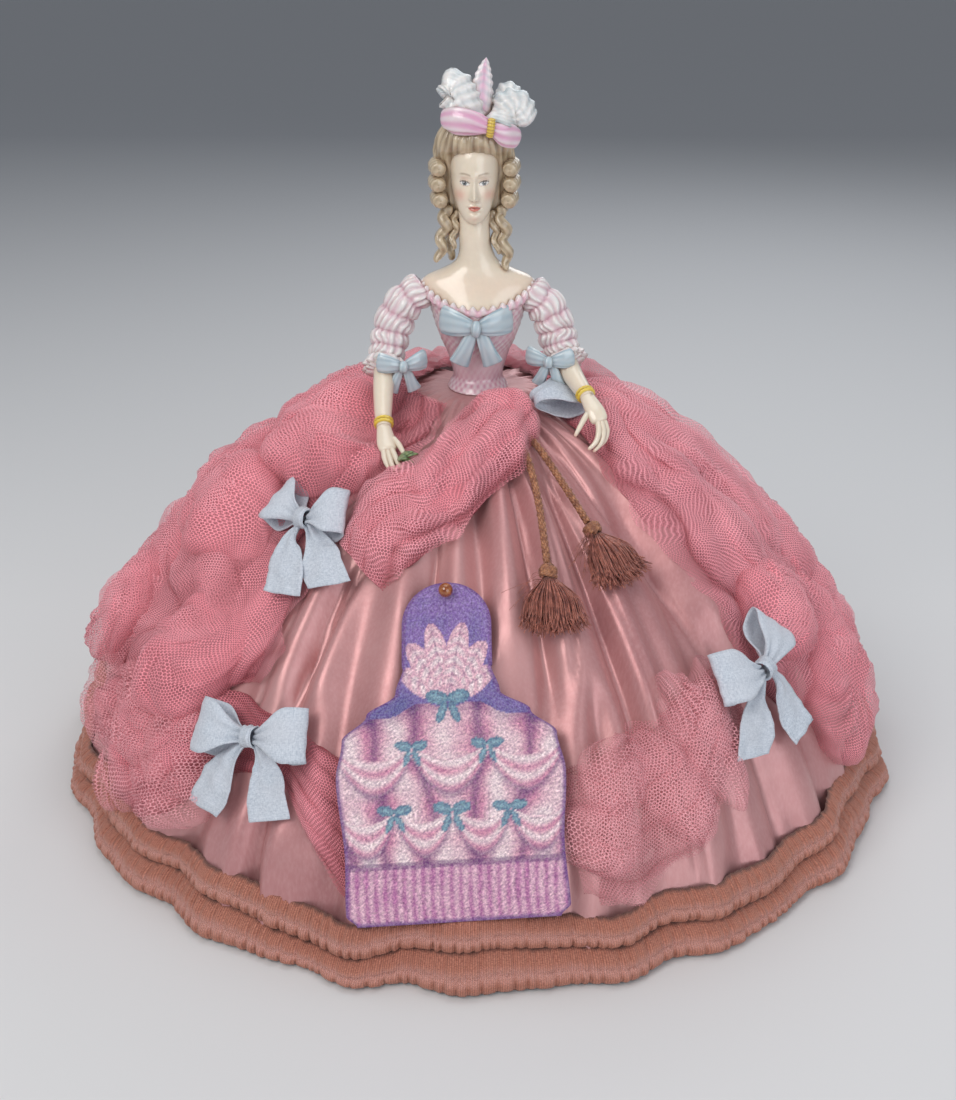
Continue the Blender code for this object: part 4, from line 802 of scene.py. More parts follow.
swagLeftPuffs = (
    (-73, 0.80, 0.028, 0.014, -20, 0.0105, 0.4),
    (-59, 0.77, 0.026, 0.014, -20, 0.0105, -0.5),
    (-62, 0.86, 0.030, 0.013, -15, 0.0095, 0.4),
    (-47, 0.76, 0.018, 0.018, -10, 0.0095, 0.5),
    (-46, 0.84, 0.022, 0.013, 0, 0.0085, -0.5),
    (-23, 0.76, 0.013, 0.026, 0, 0.0065, 0.4),
)
drapeRightPuffs = (
    (75, 0.17, 0.022, 0.024, 20, 0.0105, 0.6),
    (64, 0.38, 0.014, 0.056, 0, 0.0125, 0.2),
    (54, 0.33, 0.012, 0.046, 6, 0.0090, -0.2),
    (84, 0.38, 0.020, 0.052, 0, 0.0135, 0.3),
    (102, 0.33, 0.022, 0.056, 0, 0.0115, -0.3),
    (63, 0.59, 0.021, 0.021, 10, 0.0165, 1.6),
    (88, 0.57, 0.022, 0.022, 0, 0.0125, -1.2),
    (74, 0.66, 0.016, 0.020, 0, 0.0110, 1.4),
    (87, 0.72, 0.020, 0.022, 0, 0.0120, -0.9),
    (69, 0.78, 0.032, 0.026, 20, 0.0130, 0.8),
    (101, 0.62, 0.024, 0.026, 0, 0.0110, 0.6),
    (90, 0.85, 0.020, 0.014, 0, 0.0085, 0.4),
)
swagRightPuffs = (
    (40, 0.66, 0.013, 0.020, 0, 0.0075, 0.6),
    (34, 0.69, 0.011, 0.030, 15, 0.0090, 0.4),
    (27, 0.75, 0.013, 0.022, 25, 0.0080, -0.9),
    (19, 0.71, 0.014, 0.015, 0, 0.0085, 2.4),
    (16, 0.79, 0.016, 0.014, 0, 0.0075, 1.8),
)
drapeBackPuffs = (
    (119.5, 0.21, 0.0140, 0.048, 3, 0.0110, 0.2),
    (135.0, 0.25, 0.0140, 0.056, -3, 0.0125, -0.2),
    (152.0, 0.22, 0.0145, 0.050, 3, 0.0110, 0.3),
    (167.0, 0.24, 0.0130, 0.054, 0, 0.0120, 0.2),
    (181.0, 0.25, 0.0130, 0.056, 0, 0.0130, -0.3),
    (196.5, 0.23, 0.0140, 0.052, 2, 0.0110, 0.2),
    (213.0, 0.23, 0.0140, 0.050, -2, 0.0120, 0.3),
    (228.0, 0.25, 0.0140, 0.056, 0, 0.0110, -0.2),
    (243.0, 0.21, 0.0135, 0.046, 3, 0.0105, 0.2),
)
tulleBody = 3.0


def ridged(x, y, z):
    return 1 - 2.4 * abs(noise.noise(Vector((x, y, z))))  # sharp crests, as in crushed net


def puffHeight(place, puffs):
    found = tulleBody
    for azimuth, share, wide, high, turn, height, _ in puffs:
        radius = domeRadius(heightAt((place.y + share) / 2))
        right = math.radians(math.remainder(place.x - azimuth, 360)) * radius
        up = (share - place.y) * slopeLength
        turn = math.radians(turn)
        alongIt = (right * math.cos(turn) + up * math.sin(turn)) / wide
        overIt = (up * math.cos(turn) - right * math.sin(turn)) / high
        inside = 1 - alongIt**2 - overIt**2
        if inside > 0:
            found = max(found, tulleBody + (height / mm - tulleBody) * inside**0.6)
    return found


# Painted light and shade for the net: darker low between puffs and in fold valleys, lighter past white on
# high crests as painted highlights.
def depthShade(rise, crest):
    level = max(0.0, min(1.0, 0.30 + 0.60 * rise + 0.55 * (crest - 0.5)))
    return blend((0.46, 0.26, 0.28), (1.08, 1.14, 1.14), level)


def tulleLayer(name, edges, puffs, material, settings):
    rowsAlong, rowsAcross = settings["grid"]
    outer = along([edge[0] for edge in edges], rowsAlong)
    inner = along([edge[1] for edge in edges], rowsAlong)
    seed = settings["seed"]
    spread = settings["spread"]
    rows, paint = [], []
    for i, (start, end) in enumerate(zip(outer, inner)):
        u = i / rowsAlong
        calm = ease(6 * u) * ease(6 * (1 - u)) * 0.6 + 0.4
        length = settings["length"] * u
        row, shades = [], []
        for j in range(rowsAcross + 1):
            v = j / rowsAcross
            across = settings["width"] * v
            drift = noise.noise(Vector((length / 40, across / 70, seed)))
            phase = 2 * math.pi * (settings["folds"] * v + 1.1 * drift + settings["slant"] * u)
            inward = min(1.0, math.sin(math.pi * v) ** 0.6 * 1.2)
            strength = 0.45 + 0.9 * abs(noise.noise(Vector((length / 28, across / 30, seed + 3))))
            roll = settings["roll"] * math.sin(phase) * strength * inward
            ragged = settings["ragged"] * (1 - inward) * (noise.noise(Vector((length / 16, seed, v))) + 0.25)
            place = start.lerp(end, -spread + (1 + 2 * spread) * v + roll + ragged)
            lift = settings["base"] + settings["level"] * puffHeight(place, puffs) * calm * inward
            fold = (0.5 + 0.5 * math.cos(phase)) * strength * calm
            lift += settings["fold"] * fold * (0.35 + 0.65 * inward)
            lift += settings["crush"] * ridged(length / 24, across / 10, seed + 5) * calm
            lift += 0.35 * settings["crush"] * ridged(length / 9, across / 5, seed + 8)
            held = heldAt(place)
            lift = max(0.9 - 0.6 * held, lift * (1 - held) + 0.3 * held)
            row.append(domePoint(place.x, place.y, lift * mm))
            # Painted shade and highlight from the lift and the fold's crest.
            shades.append(depthShade((lift - 3.0) / 9.0, 0.5 + 0.5 * math.cos(phase)))
        rows.append(row)
        paint.append(shades)
    piece = gridPiece(name, rows, material, clothLengths(rows), False, paint)
    return piece


puffSettings = {"rings": 19, "spokes": 72, "grow": 1.06, "folds": 2.3}


# Rows of one blown-up puff with folds that run out from its middle, its rim tucked under.
def puffCap(puff, seed):
    azimuth, share, wide, high, turn, height, swirl = puff
    turn = math.radians(turn)
    rings, spokes = puffSettings["rings"], puffSettings["spokes"]
    rows, folds = [], []
    for i in range(rings + 1):
        s = i / rings
        # Past its widest, the rim turns back under
        reach = puffSettings["grow"] * math.sin(0.60 * math.pi * s)
        dome = max(0.0, math.cos(0.5 * math.pi * s)) ** 0.62
        row, crests = [], []
        for k in range(spokes):
            spin = 2 * math.pi * k / spokes
            twist = spin + swirl * s
            ring = (math.cos(twist) * puffSettings["folds"], math.sin(twist) * puffSettings["folds"])
            fold = ridged(ring[0], ring[1], seed + 0.7 * s)
            fine = ridged(ring[0] * 2.6, ring[1] * 2.6, seed + 9 + 2.2 * s)
            wobble = 1 + 0.20 * noise.noise(Vector((math.cos(spin) * 1.3, math.sin(spin) * 1.3, seed)))
            wobble += 0.05 * fold * s
            alongIt = wide * reach * wobble * math.cos(spin)
            overIt = high * reach * wobble * math.sin(spin)
            right = alongIt * math.cos(turn) - overIt * math.sin(turn)
            up = alongIt * math.sin(turn) + overIt * math.cos(turn)
            spotShare = share - up / slopeLength
            radius = domeRadius(heightAt((spotShare + share) / 2))
            place = Vector((azimuth + math.degrees(right / radius), spotShare))
            rim = ease(3 * s)
            lift = (height / mm + 1.4) * dome + (2.6 * fold + 0.9 * fine) * rim * (0.3 + 0.7 * dome) + 0.9
            crests.append(max(-1.0, min(1.0, 1.2 * fold + 0.5 * fine)))
            held = heldAt(place)
            lift = max(0.8 - 0.4 * held, lift * (1 - held) + 0.4 * held)
            row.append(domePoint(place.x, max(0.012, place.y), lift * mm))
        rows.append(row)
        folds.append(crests)
    return rows, folds


def layPuffs(name, puffs, material, seed):
    points, faces, cloth, paint = [], [], [], []
    spokes = puffSettings["spokes"]
    for number, puff in enumerate(puffs):
        rows, folds = puffCap(puff, seed + 3.7 * number)
        first = len(points)
        for i, row in enumerate(rows):
            share = i / puffSettings["rings"]
            walked = 1.6 * share
            for k, point in enumerate(row):
                spin = 2 * math.pi * k / spokes
                points.append(point)
                cloth.append((puff[2] * walked * math.cos(spin), puff[3] * walked * math.sin(spin)))
                # Painted shade towards the rim and in fold valleys, painted highlight on the crown.
                paint.append(depthShade(1.15 - 1.5 * share**2, 0.5 + folds[i][k] / 2))
        faces.extend(rowFaces(rows, first))
    piece = meshPiece(name, points, faces, material, cloth, paint)


def layer(grid, seed, base, level, folds, roll, fold, crush, slant=0.3, spread=0.0, ragged=0.03):
    return dict(
        grid=grid, seed=seed, base=base, level=level, folds=folds, roll=roll, fold=fold,
        crush=crush, slant=slant, spread=spread, ragged=ragged,
    )


# All the layers of one length of net. Its size is length and width in millimetres.
def layTulle(name, node, edges, puffs, size, layers):
    for k, (material, settings) in enumerate(layers):
        settings["length"], settings["width"] = size
        piece = tulleLayer(f"{name}{k + 1}", edges, puffs, material, settings)
        if k == 0:
            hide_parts(node)


layTulle("sashNet", "tulle_sash", sash, sashPuffs, (130, 55), (
    (tulleShadowed, layer((90, 44), 1.5, 1.0, 0.45, 4, 0.04, 2.0, 0.8)),
    (tulleFine, layer((150, 80), 4.5, 1.5, 0.95, 5, 0.10, 5.4, 1.3, 0.9)),
    (tulleVeil, layer((120, 64), 7.7, 2.5, 1.05, 4, 0.10, 5.2, 1.6, -0.6, 0.05, 0.09)),
))
layTulle("drapeLeftNet", "tulle_drape_left", drapeLeft, drapeLeftPuffs, (190, 85), (
    (tulleShadowed, layer((110, 54), 11.5, 1.0, 0.45, 5, 0.04, 2.5, 1.0)),
    (tulleFine, layer((150, 86), 14.2, 1.2, 0.70, 6, 0.08, 4.6, 1.6, 0.8)),
    (tulleVeil, layer((130, 74), 17.9, 3.0, 0.95, 4, 0.09, 5.0, 2.2, -0.7, 0.06, 0.09)),
))
layPuffs("drapeLeftPuffNet", drapeLeftPuffs, tulleFine, 60.0)
layTulle("swagLeftNet", "tulle_swag_left", swagLeft, swagLeftPuffs, (150, 45), (
    (tulleShadowed, layer((80, 36), 21.5, 0.8, 0.40, 4, 0.05, 2.0, 0.8)),
    (tulleFine, layer((130, 64), 24.5, 1.2, 0.95, 5, 0.08, 3.2, 1.3, 0.7, 0.03, 0.06)),
))
layPuffs("swagLeftPuffNet", swagLeftPuffs[:5], tulleSheer, 120.0)
layTulle("drapeRightNet", "tulle_drape_right", drapeRight, drapeRightPuffs, (190, 80), (
    (tulleShadowed, layer((110, 54), 31.5, 1.0, 0.45, 5, 0.035, 2.5, 0.8, 0.1)),
    (tulleFine, layer((150, 86), 34.2, 1.2, 0.92, 6, 0.085, 6.0, 0.8, 0.1)),
    (tulleVeil, layer((130, 74), 37.9, 2.6, 1.02, 5, 0.09, 6.4, 1.1, -0.15, 0.03, 0.06)),
))
layPuffs("drapeRightPuffNet", drapeRightPuffs[5:], tulleFine, 180.0)
layTulle("swagRightNet", "tulle_swag_right", swagRight, swagRightPuffs, (110, 40), (
    (tulleSheer, layer((80, 40), 41.5, 0.8, 0.60, 3, 0.06, 2.5, 1.2, 0.3, 0.03, 0.08)),
    (tulleSheer, layer((110, 56), 44.5, 1.4, 1.00, 4, 0.09, 3.4, 1.6, 0.7, 0.05, 0.10)),
))
layPuffs("swagRightPuffNet", swagRightPuffs, tulleSheer, 240.0)
layTulle("drapeBackNet", "tulle_drape_back", drapeBack, drapeBackPuffs, (250, 90), (
    (tulleShadowed, layer((150, 36), 51.5, 1.0, 0.50, 3, 0.03, 1.5, 0.8, 0.6)),
    (tulleFine, layer((170, 46), 54.5, 1.6, 1.00, 3, 0.04, 2.0, 1.3, 0.8, 0.02, 0.05)),
))
print("stage: tulle")

# Chiffon bows

bowSettings = {
    "loopWidth": 0.0215, "puff": 0.0058, "tailWidth": 0.0165, "pinch": 0.0056, "knot": 0.0056, "ply": 0.0005,
    "loopSteps": 44, "tailSteps": 34, "bandSteps": 28, "bandAcross": 10, "ribbon": 0.018,
}
# Name, node, azimuth and share, and where the loops and then the tails end, right and up in metres
bows = (
    ("bowUpperLeft", "bow_upper_left", (-46.6, 0.33),
     (-0.0225, 0.001), (0.0165, 0.009), (0.010, -0.032), (0.027, -0.022)),
    ("bowLowerLeft", "bow_lower_left", (-33.5, 0.68),
     (-0.027, -0.004), (0.023, 0.007), (-0.013, -0.034), (0.018, -0.028)),
    ("bowRight", "bow_right", (48.8, 0.63),
     (-0.026, 0.005), (0.019, 0.014), (-0.024, -0.029), (0.006, -0.032)),
)


def centreOf(points):
    low = Vector([min(p[i] for p in points) for i in range(3)])
    high = Vector([max(p[i] for p in points) for i in range(3)])
    return (low + high) / 2


def nodeCentre(nodes):
    corners = [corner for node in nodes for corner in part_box(node)]
    return centreOf(corners)


# Rows across a ribbon that follows a path of (right, up, out), creased towards its pinched places.
def stripRows(path, wide, halves, patch, folds, seed, curl=0.0, across=14):
    rows = []
    for i, (middle, side, half) in enumerate(zip(path, wide, halves)):
        t = i / (len(path) - 1)
        row = []
        for j in range(across + 1):
            v = 2 * j / across - 1
            tight = 1 - ease((half / mm - 3.0) / 6.0)
            crease = math.cos(folds * math.pi * v + 2 * noise.noise(Vector((t * 3, seed, 0))))
            out = crease * (0.25 + 0.65 * tight) + 0.9 * noise.noise(Vector((t * 7, v * 1.6, seed)))
            out += 0.35 * noise.noise(Vector((t * 22, v * 6, seed + 3))) - curl * v * v
            spot = middle + side * half * v + Vector((0, 0, out * mm))
            row.append(patch.point(*spot))
        rows.append(row)
    return rows


# Two puffed loops, two tails behind them and a band round their middles.
def makeBow(name, node, place, left, right, tailLeft, tailRight):
    patch = Patch(place)
    left, right, tailLeft, tailRight = (Vector((*arm, 0)) for arm in (left, right, tailLeft, tailRight))
    course = (right - left).normalized()
    rise = Vector((-course.y, course.x, 0))
    size = bowSettings
    pieces = []
    for k, arm in enumerate((left, right)):
        side = -1 if k == 0 else 1
        count = size["loopSteps"]
        path, wide, halves = [], [], []
        start = course * side * size["knot"] * 0.35
        for i in range(count + 1):
            turn = 2 * math.pi * i / count
            reach = 0.5 - 0.5 * math.cos(turn)
            front = math.sin(turn)
            out = 0.0034 + (front * (0.0012 + size["puff"] * reach ** 0.8 * (1.25 - reach) * 1.5))
            path.append(start + (arm - start) * (reach ** 0.9) + Vector((0, 0, out)))
            across = Vector((-arm.y, arm.x, 0)).normalized() * side
            wide.append(rise.lerp(across, ease(2.4 * reach)).normalized())
            halves.append((size["pinch"] + (size["loopWidth"] - size["pinch"]) * ease(1.5 * reach)) / 2)
        rows = stripRows(path, wide, halves, patch, 2.5, k * 5 + place[0], 0.3)
        pieces.append(gridPiece(f"{name}Loop{k + 1}", rows, chiffon, clothLengths(rows)))
    for k, arm in enumerate((tailLeft, tailRight)):
        side = -1 if k == 0 else 1
        count = size["tailSteps"]
        path, wide, halves = [], [], []
        start = course * side * size["knot"] * 0.25 - rise * 0.001
        for i in range(count + 1):
            t = i / count
            bend = course * side * 0.0022 * math.sin(math.pi * min(1.0, 1.4 * t))
            out = 0.0026 - 0.0012 * ease(2 * t) + 0.0009 * math.sin(7 * t + place[0] + 2 * k) * t
            path.append(start + (arm - start) * t + bend + Vector((0, 0, out)))
            heading = (arm * side).normalized().lerp(course, 1 - ease(2.2 * t)).normalized()
            turned = Vector((-heading.y, heading.x, 0))
            straight = course if turned.dot(course) > 0 else -course
            wide.append(turned.lerp(straight, 0.55 * ease(3 * t - 2)).normalized())
            narrow = size["pinch"] * 0.8
            halves.append((narrow + (size["tailWidth"] - narrow) * ease(1.5 * t)) / 2)
        rows = stripRows(path, wide, halves, patch, 1.5, k * 3 + 40 + place[0], -0.2)
        pieces.append(gridPiece(f"{name}Tail{k + 1}", rows, chiffon, clothLengths(rows)))
    rows = []
    for i in range(size["bandSteps"] + 1):
        turn = 2 * math.pi * i / size["bandSteps"]
        row = []
        for j in range(size["bandAcross"] + 1):
            v = 2 * j / size["bandAcross"] - 1
            swell = 1 + 0.10 * math.cos(4 * math.pi * v) + 0.12 * noise.noise(Vector((turn, v * 3, place[0])))
            up = math.cos(turn) * (size["pinch"] / 2 + 0.0011) * swell
            out = 0.0036 + math.sin(turn) * 0.0042 * swell * (1 - 0.18 * v * v)
            sideways = course * size["knot"] / 2 * v * (1 - 0.15 * math.sin(turn))
            row.append(patch.point(*(sideways + rise * up + Vector((0, 0, out)))))
        rows.append(row)
    pieces.append(gridPiece(f"{name}Band", rows, chiffon, clothLengths(rows)))
    nodes = [node + "_loops", node + "_tails", node + "_knot"]
    every = [vertex.co for piece in pieces for vertex in piece.data.vertices]
    shift = nodeCentre(nodes) - centreOf(every) + patch.out * 0.0012
    for piece in pieces:
        piece.data.transform(Matrix.Translation(shift))
        if "Band" not in piece.name:
            restsOn = node + "_knot" if "Loop" in piece.name else "satin_skirt"
        thicken(piece, size["ply"])
    for piece, stoodFor in zip(pieces[::2], nodes):
        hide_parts(stoodFor)


for settings in bows:
    makeBow(*settings)


waistSettings = {
    "place": (57, 0.06), "arm": (0.0170, -0.008, 0), "steps": 48, "puff": 0.0046, "ribbon": 0.016,
}


# The ribbon's loop that stands out at the waist.
def waistLoop():
    patch = Patch(waistSettings["place"])
    arm = Vector(waistSettings["arm"])
    across = Vector((-arm.y, arm.x, 0)).normalized()
    path, wide, halves = [], [], []
    for i in range(waistSettings["steps"] + 1):
        turn = 2 * math.pi * i / waistSettings["steps"]
        reach = 0.5 + 0.5 * math.cos(turn)
        out = 0.0042 + waistSettings["puff"] * math.sin(turn)
        path.append(arm * (reach * 1.15 - 0.5) + Vector((0, 0, out)))
        wide.append(across)
        halves.append((0.007 + 0.011 * ease(1.4 * reach)) / 2)
    rows = stripRows(path, wide, halves, patch, 1.5, 77, 0.4)
    piece = gridPiece("waistLoop", rows, chiffon, clothLengths(rows))
    every = [vertex.co for vertex in piece.data.vertices]
    piece.data.transform(Matrix.Translation(nodeCentre(["waist_bow_loop"]) - centreOf(every)))
    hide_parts("waist_bow_loop")
    thicken(piece, bowSettings["ply"])


waistLoop()
print("stage: bows")

# Cords and tassels

cordSettings = {
    "diameter": 0.003, "pitch": 0.0085, "strands": 3, "steps": 130,
    "strandTurn": 0.00074, "strandRadius": 0.00088, "hairs": 60, "hairRadius": 0.00006,
}
tasselSettings = {
    "wraps": 9, "evenWraps": 4, "wrapSteps": 24, "wrapTurn": 0.0031, "wrapRadius": 0.00085,
    "threads": 420, "length": 0.0238, "spread": 0.0150, "threadRadius": 0.00021, "strayRadius": 0.00010,
}
cordRoutes = {
    "left": (
        (0.0172, -0.0475, 0.1680),
        (0.0205, -0.0570, 0.1645),
        (0.0232, -0.0672, 0.1580),
        (0.0251, -0.0780, 0.1508),
        (0.0266, -0.0892, 0.1425),
        (0.0275, -0.0973, 0.1362),
    ),
    "right": (
        (0.0215, -0.0440, 0.1690),
        (0.0275, -0.0530, 0.1645),
        (0.0335, -0.0620, 0.1580),
        (0.0392, -0.0704, 0.1516),
        (0.0446, -0.0780, 0.1452),
    ),
}


# One piece from several small tubes, each rows of points and cloth coordinates.
def joinRows(name, parts, material):
    points, faces, cloth = [], [], []
    for rows, marks in parts:
        wide = len(rows[0])
        first = len(points)
        for i, row in enumerate(rows):
            points.extend(row)
            cloth.extend(marks[i])
        faces.extend(rowFaces(rows, first))
        faces.append(tuple(reversed(range(first, first + wide))))
        faces.append(tuple(range(first + (len(rows) - 1) * wide, first + len(rows) * wide)))
    return meshPiece(name, points, faces, material, cloth)


# A round tube along a path, its frame carried from point to point.
def tubeRows(path, radii, sides):
    rows, marks = [], []
    side = None
    walked = 0.0
    for i, point in enumerate(path):
        heading = (path[min(i + 1, len(path) - 1)] - path[max(i - 1, 0)]).normalized()
        if side is None:
            side = heading.cross(Vector((0.3, 0.2, 0.9))).normalized()
        side = (side - heading * side.dot(heading)).normalized()
        other = heading.cross(side)
        radius = radii[i] if isinstance(radii, list) else radii
        if i:
            walked += (point - path[i - 1]).length
        row = []
        for k in range(sides):
            turn = 2 * math.pi * k / sides
            row.append(point + (side * math.cos(turn) + other * math.sin(turn)) * radius)
        rows.append(row)
        marks.append([(walked, k / sides) for k in range(sides)])
    return rows, marks


def twistedCord(side, route):
    path = along(route, cordSettings["steps"])
    strands, length = [], 0.0
    frames = []
    across = Vector((1, 0, 0))
    for i, point in enumerate(path):
        heading = (path[min(i + 1, len(path) - 1)] - path[max(i - 1, 0)]).normalized()
        across = (across - heading * across.dot(heading)).normalized()
        if i:
            length += (point - path[i - 1]).length
        frames.append((point, across.copy(), heading.cross(across), length))
    for s in range(cordSettings["strands"]):
        line, radii = [], []
        for point, right, up, walked in frames:
            turn = 2 * math.pi * (walked / cordSettings["pitch"] + s / cordSettings["strands"])
            loose = 1 + 0.10 * noise.noise(Vector((walked * 260, s * 4.0, 0)))
            out = right * math.cos(turn) + up * math.sin(turn)
            line.append(point + out * cordSettings["strandTurn"] * loose)
            radii.append(cordSettings["strandRadius"] * loose)
        strands.append(tubeRows(line, radii, 9))
    chosen = random.Random(len(side))
    for _ in range(cordSettings["hairs"]):
        point, right, up, walked = frames[chosen.randrange(4, len(frames) - 4)]
        turn = chosen.uniform(0, 2 * math.pi)
        out = right * math.cos(turn) + up * math.sin(turn)
        swing = Vector([chosen.uniform(-1, 1) for _ in range(3)]) * 0.0006
        bend = point + out * 0.0019 + swing
        hair = along((point + out * 0.0010, bend, point + out * 0.0016 + swing * 2.2), 5)
        strands.append(tubeRows(hair, cordSettings["hairRadius"], 3))
    rope = joinRows(f"cord{side.title()}", strands, cordThread)
    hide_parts(f"tassel_cord_{side}")
    return rope, path, length


# A wound knot and a fan of threads hanging from it.
def tasselOf(side, route, strays):
    end, before = Vector(route[-1]), Vector(route[-2])
    down = (end - before).normalized()
    centre = end + down * 0.0039
    outward = domeNormal(math.atan2(centre.x, -centre.y), centre.z)
    across = down.cross(outward).normalized()
    outward = across.cross(down).normalized()
    chosen = random.Random(31 + strays)
    size = tasselSettings
    wraps = []
    for k in range(size["wraps"]):
        axis = Vector([chosen.uniform(-1, 1) for _ in range(3)]).normalized()
        if k < size["evenWraps"]:
            axis = (down + axis * 0.5).normalized()
        right = axis.orthogonal().normalized()
        up = axis.cross(right)
        shift = down * chosen.uniform(-0.0016, 0.0016) if k < size["evenWraps"] else Vector()
        ring = []
        for i in range(size["wrapSteps"] + 1):
            turn = 2 * math.pi * i / size["wrapSteps"]
            ring.append(centre + shift + (right * math.cos(turn) + up * math.sin(turn)) * size["wrapTurn"])
        wraps.append(tubeRows(ring, size["wrapRadius"], 7))
    knot = joinRows(f"tasselKnot{side.title()}", wraps, cordThread)
    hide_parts(f"tassel_{side}_knot")
    top = centre + down * 0.0030
    threads = []
    for _ in range(size["threads"]):
        turn = chosen.uniform(0, 2 * math.pi)
        place = math.sqrt(chosen.uniform(0, 1))
        x, y = math.cos(turn) * place, math.sin(turn) * place
        start = top + across * x * 0.0026 + outward * y * 0.0022
        reach = size["length"] * chosen.uniform(0.80, 1.05) * (1 - 0.12 * x * x)
        finish = top + down * reach + across * x * size["spread"] + outward * (y * 0.0034 + 0.0008)
        middle = start.lerp(finish, 0.45) + across * x * 0.0022 + outward * 0.0012 * (0.4 + y)
        jitter = Vector([chosen.uniform(-1, 1) for _ in range(3)]) * 0.0009
        low = start.lerp(finish, 0.78) + jitter
        path = along((start, middle + jitter * 0.5, low, finish - jitter), 8)
        threads.append(tubeRows(path, size["threadRadius"], 3))
    for _ in range(strays):
        start = top + down * chosen.uniform(0, 0.003)
        aim = across * chosen.uniform(0.007, 0.021) + down * chosen.uniform(0.004, 0.015)
        aim += outward * chosen.uniform(0.001, 0.003)
        lift = across * chosen.uniform(0.002, 0.006) - down * chosen.uniform(0.0, 0.003) + outward * 0.002
        path = along((start, start + lift, start + aim * 0.7 + lift * 0.4, start + aim), 9)
        threads.append(tubeRows(path, size["strayRadius"], 3))
    fringe = joinRows(f"tasselFringe{side.title()}", threads, tasselThread)
    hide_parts(f"tassel_{side}_fringe")
    return knot, fringe


for side, route in cordRoutes.items():
    rope, path, length = twistedCord(side, route)
    knot, fringe = tasselOf(side, route, 34 if side == "right" else 8)
print("stage: cords and tassels")

# Porcelain figure, in millimetres from the middle of the waist

headLean = -1.5
ivory = (0.83, 0.725, 0.575)
blushRose = (0.80, 0.40, 0.30)
lipRose = (0.62, 0.13, 0.085)
hairLight = (0.60, 0.49, 0.33)
hairDark = (0.24, 0.165, 0.09)
glazeWhite = (0.84, 0.82, 0.80)
bodicePink = (0.74, 0.44, 0.53)
deepPink = (0.50, 0.19, 0.29)
bowBlue = (0.36, 0.49, 0.56)
bowLight = (0.68, 0.76, 0.79)
bowShade = (0.14, 0.25, 0.33)
mauve = (0.72, 0.36, 0.54)
plumeGrey = (0.30, 0.43, 0.48)
clayYellow = (0.84, 0.62, 0.06)
leafGreen = (0.05, 0.13, 0.03)


def figurePoint(spot):
    return Vector((spot[0] * mm, spot[1] * mm, spot[2] * mm + waistHeight))


# Gathers lofts of one casting into one mesh with painted colours.
class Clay:
    def __init__(self):
        self.points = []
        self.faces = []
        self.colours = []

    def paint(self, rows, colour):
        self.add(rows, paintRows(rows, colour))

    def add(self, rows, colours):
        first = len(self.points)
        wide = len(rows[0])
        for row, shades in zip(rows, colours):
            self.points.extend(figurePoint(spot) for spot in row)
            self.colours.extend(shades)
        self.faces.extend(rowFaces(rows, first))
        last = first + (len(rows) - 1) * wide
        for row, shades, start in ((rows[0], colours[0], first), (rows[-1], colours[-1], last)):
            middle = sum((Vector(spot) for spot in row), Vector()) / wide
            self.points.append(figurePoint(middle))
            self.colours.append(shades[0])
            tip = len(self.points) - 1
            for j in range(wide):
                k = (j + 1) % wide
                ends = (start + k, start + j) if start == first else (start + j, start + k)
                self.faces.append((*ends, tip))

    def make(self, name):
        piece = meshPiece(name, self.points, self.faces, porcelain, None, self.colours, True)
        return piece


def roundedEnd(share):
    return math.sqrt(max(0.02, 1 - share**2))


# Rows along a smooth path. Relief is a share of the girth by the place along and round it.
def limbRows(middles, sizes, sides, steps, across=(1, 0, 0), relief=None, ends=(0.0, 0.0)):
    points = [Vector(spot) for spot in flow(middles, steps)]
    widths = flow(sizes, steps)
    across = Vector(across)
    rows = []
    for i, (point, (wide, deep)) in enumerate(zip(points, widths)):
        u = i / steps
        heading = (points[min(i + 1, steps)] - points[max(i - 1, 0)]).normalized()
        side = (across - heading * across.dot(heading)).normalized()
        forward = heading.cross(side)
        girth = 1.0
        if ends[0] and u < ends[0]:
            girth = roundedEnd(1 - u / ends[0])
        if ends[1] and u > 1 - ends[1]:
            girth = roundedEnd((u - 1 + ends[1]) / ends[1])
        row = []
        for k in range(sides):
            turn = 2 * math.pi * k / sides
            swell = girth * (1 + (relief(u, turn) if relief else 0.0))
            row.append(point + side * wide * swell * math.cos(turn) + forward * deep * swell * math.sin(turn))
        rows.append(row)
    return rows


# Colours by the place along and round the rows, and by the point itself.
def paintRows(rows, colour):
    wide = len(rows[0])
    last = len(rows) - 1
    made = []
    for i, row in enumerate(rows):
        made.append([colour(i / last, 2 * math.pi * k / wide, spot) for k, spot in enumerate(row)])
    return made


def ovalRows(stations, sides, steps, closer=0.0, shape=None, relief=None):
    rows = []
    for height, halfWidth, front, back, middle in flow(stations, steps):
        row = []
        lean = headLean * ease((height - 50) / 20)
        for k in range(sides):
            turn = 2 * math.pi * k / sides
            turn -= closer * math.cos(turn)
            blendDepth = 0.5 + 0.5 * max(-1.0, min(1.0, 2.5 * math.sin(turn)))
            depth = front + (back - front) * blendDepth
            swell = 1 + (relief(height, turn) if relief else 0.0)
            x = halfWidth * swell * math.cos(turn)
            forward = middle + depth * swell * math.sin(turn)
            if shape:
                forward -= shape(x, height) * max(0.0, -math.sin(turn))
            row.append(Vector((x + lean, forward, height)))
        rows.append(row)
    return rows


def neckEdge(turn):
    return 44.5 - 8.0 * max(0.0, -math.sin(turn)) ** 1.5


def bodiceCells(turn, height):
    return math.cos(26 * turn) * math.cos(2 * math.pi * height / 3.4)


def bodiceRelief(height, turn):
    if height < 4 or height > neckEdge(turn):
        return 0.0
    shown = ease((neckEdge(turn) - height) / 2) * ease((height - 4) / 4)
    cells = bodiceCells(turn, height)
    seams = math.exp(-((math.sin(turn - 1.5 * math.pi) * 4 - 0.9) ** 2) * 20) * 0.5
    return shown * (0.022 * cells + 0.012 * math.cos(52 * turn) - 0.02 * seams)


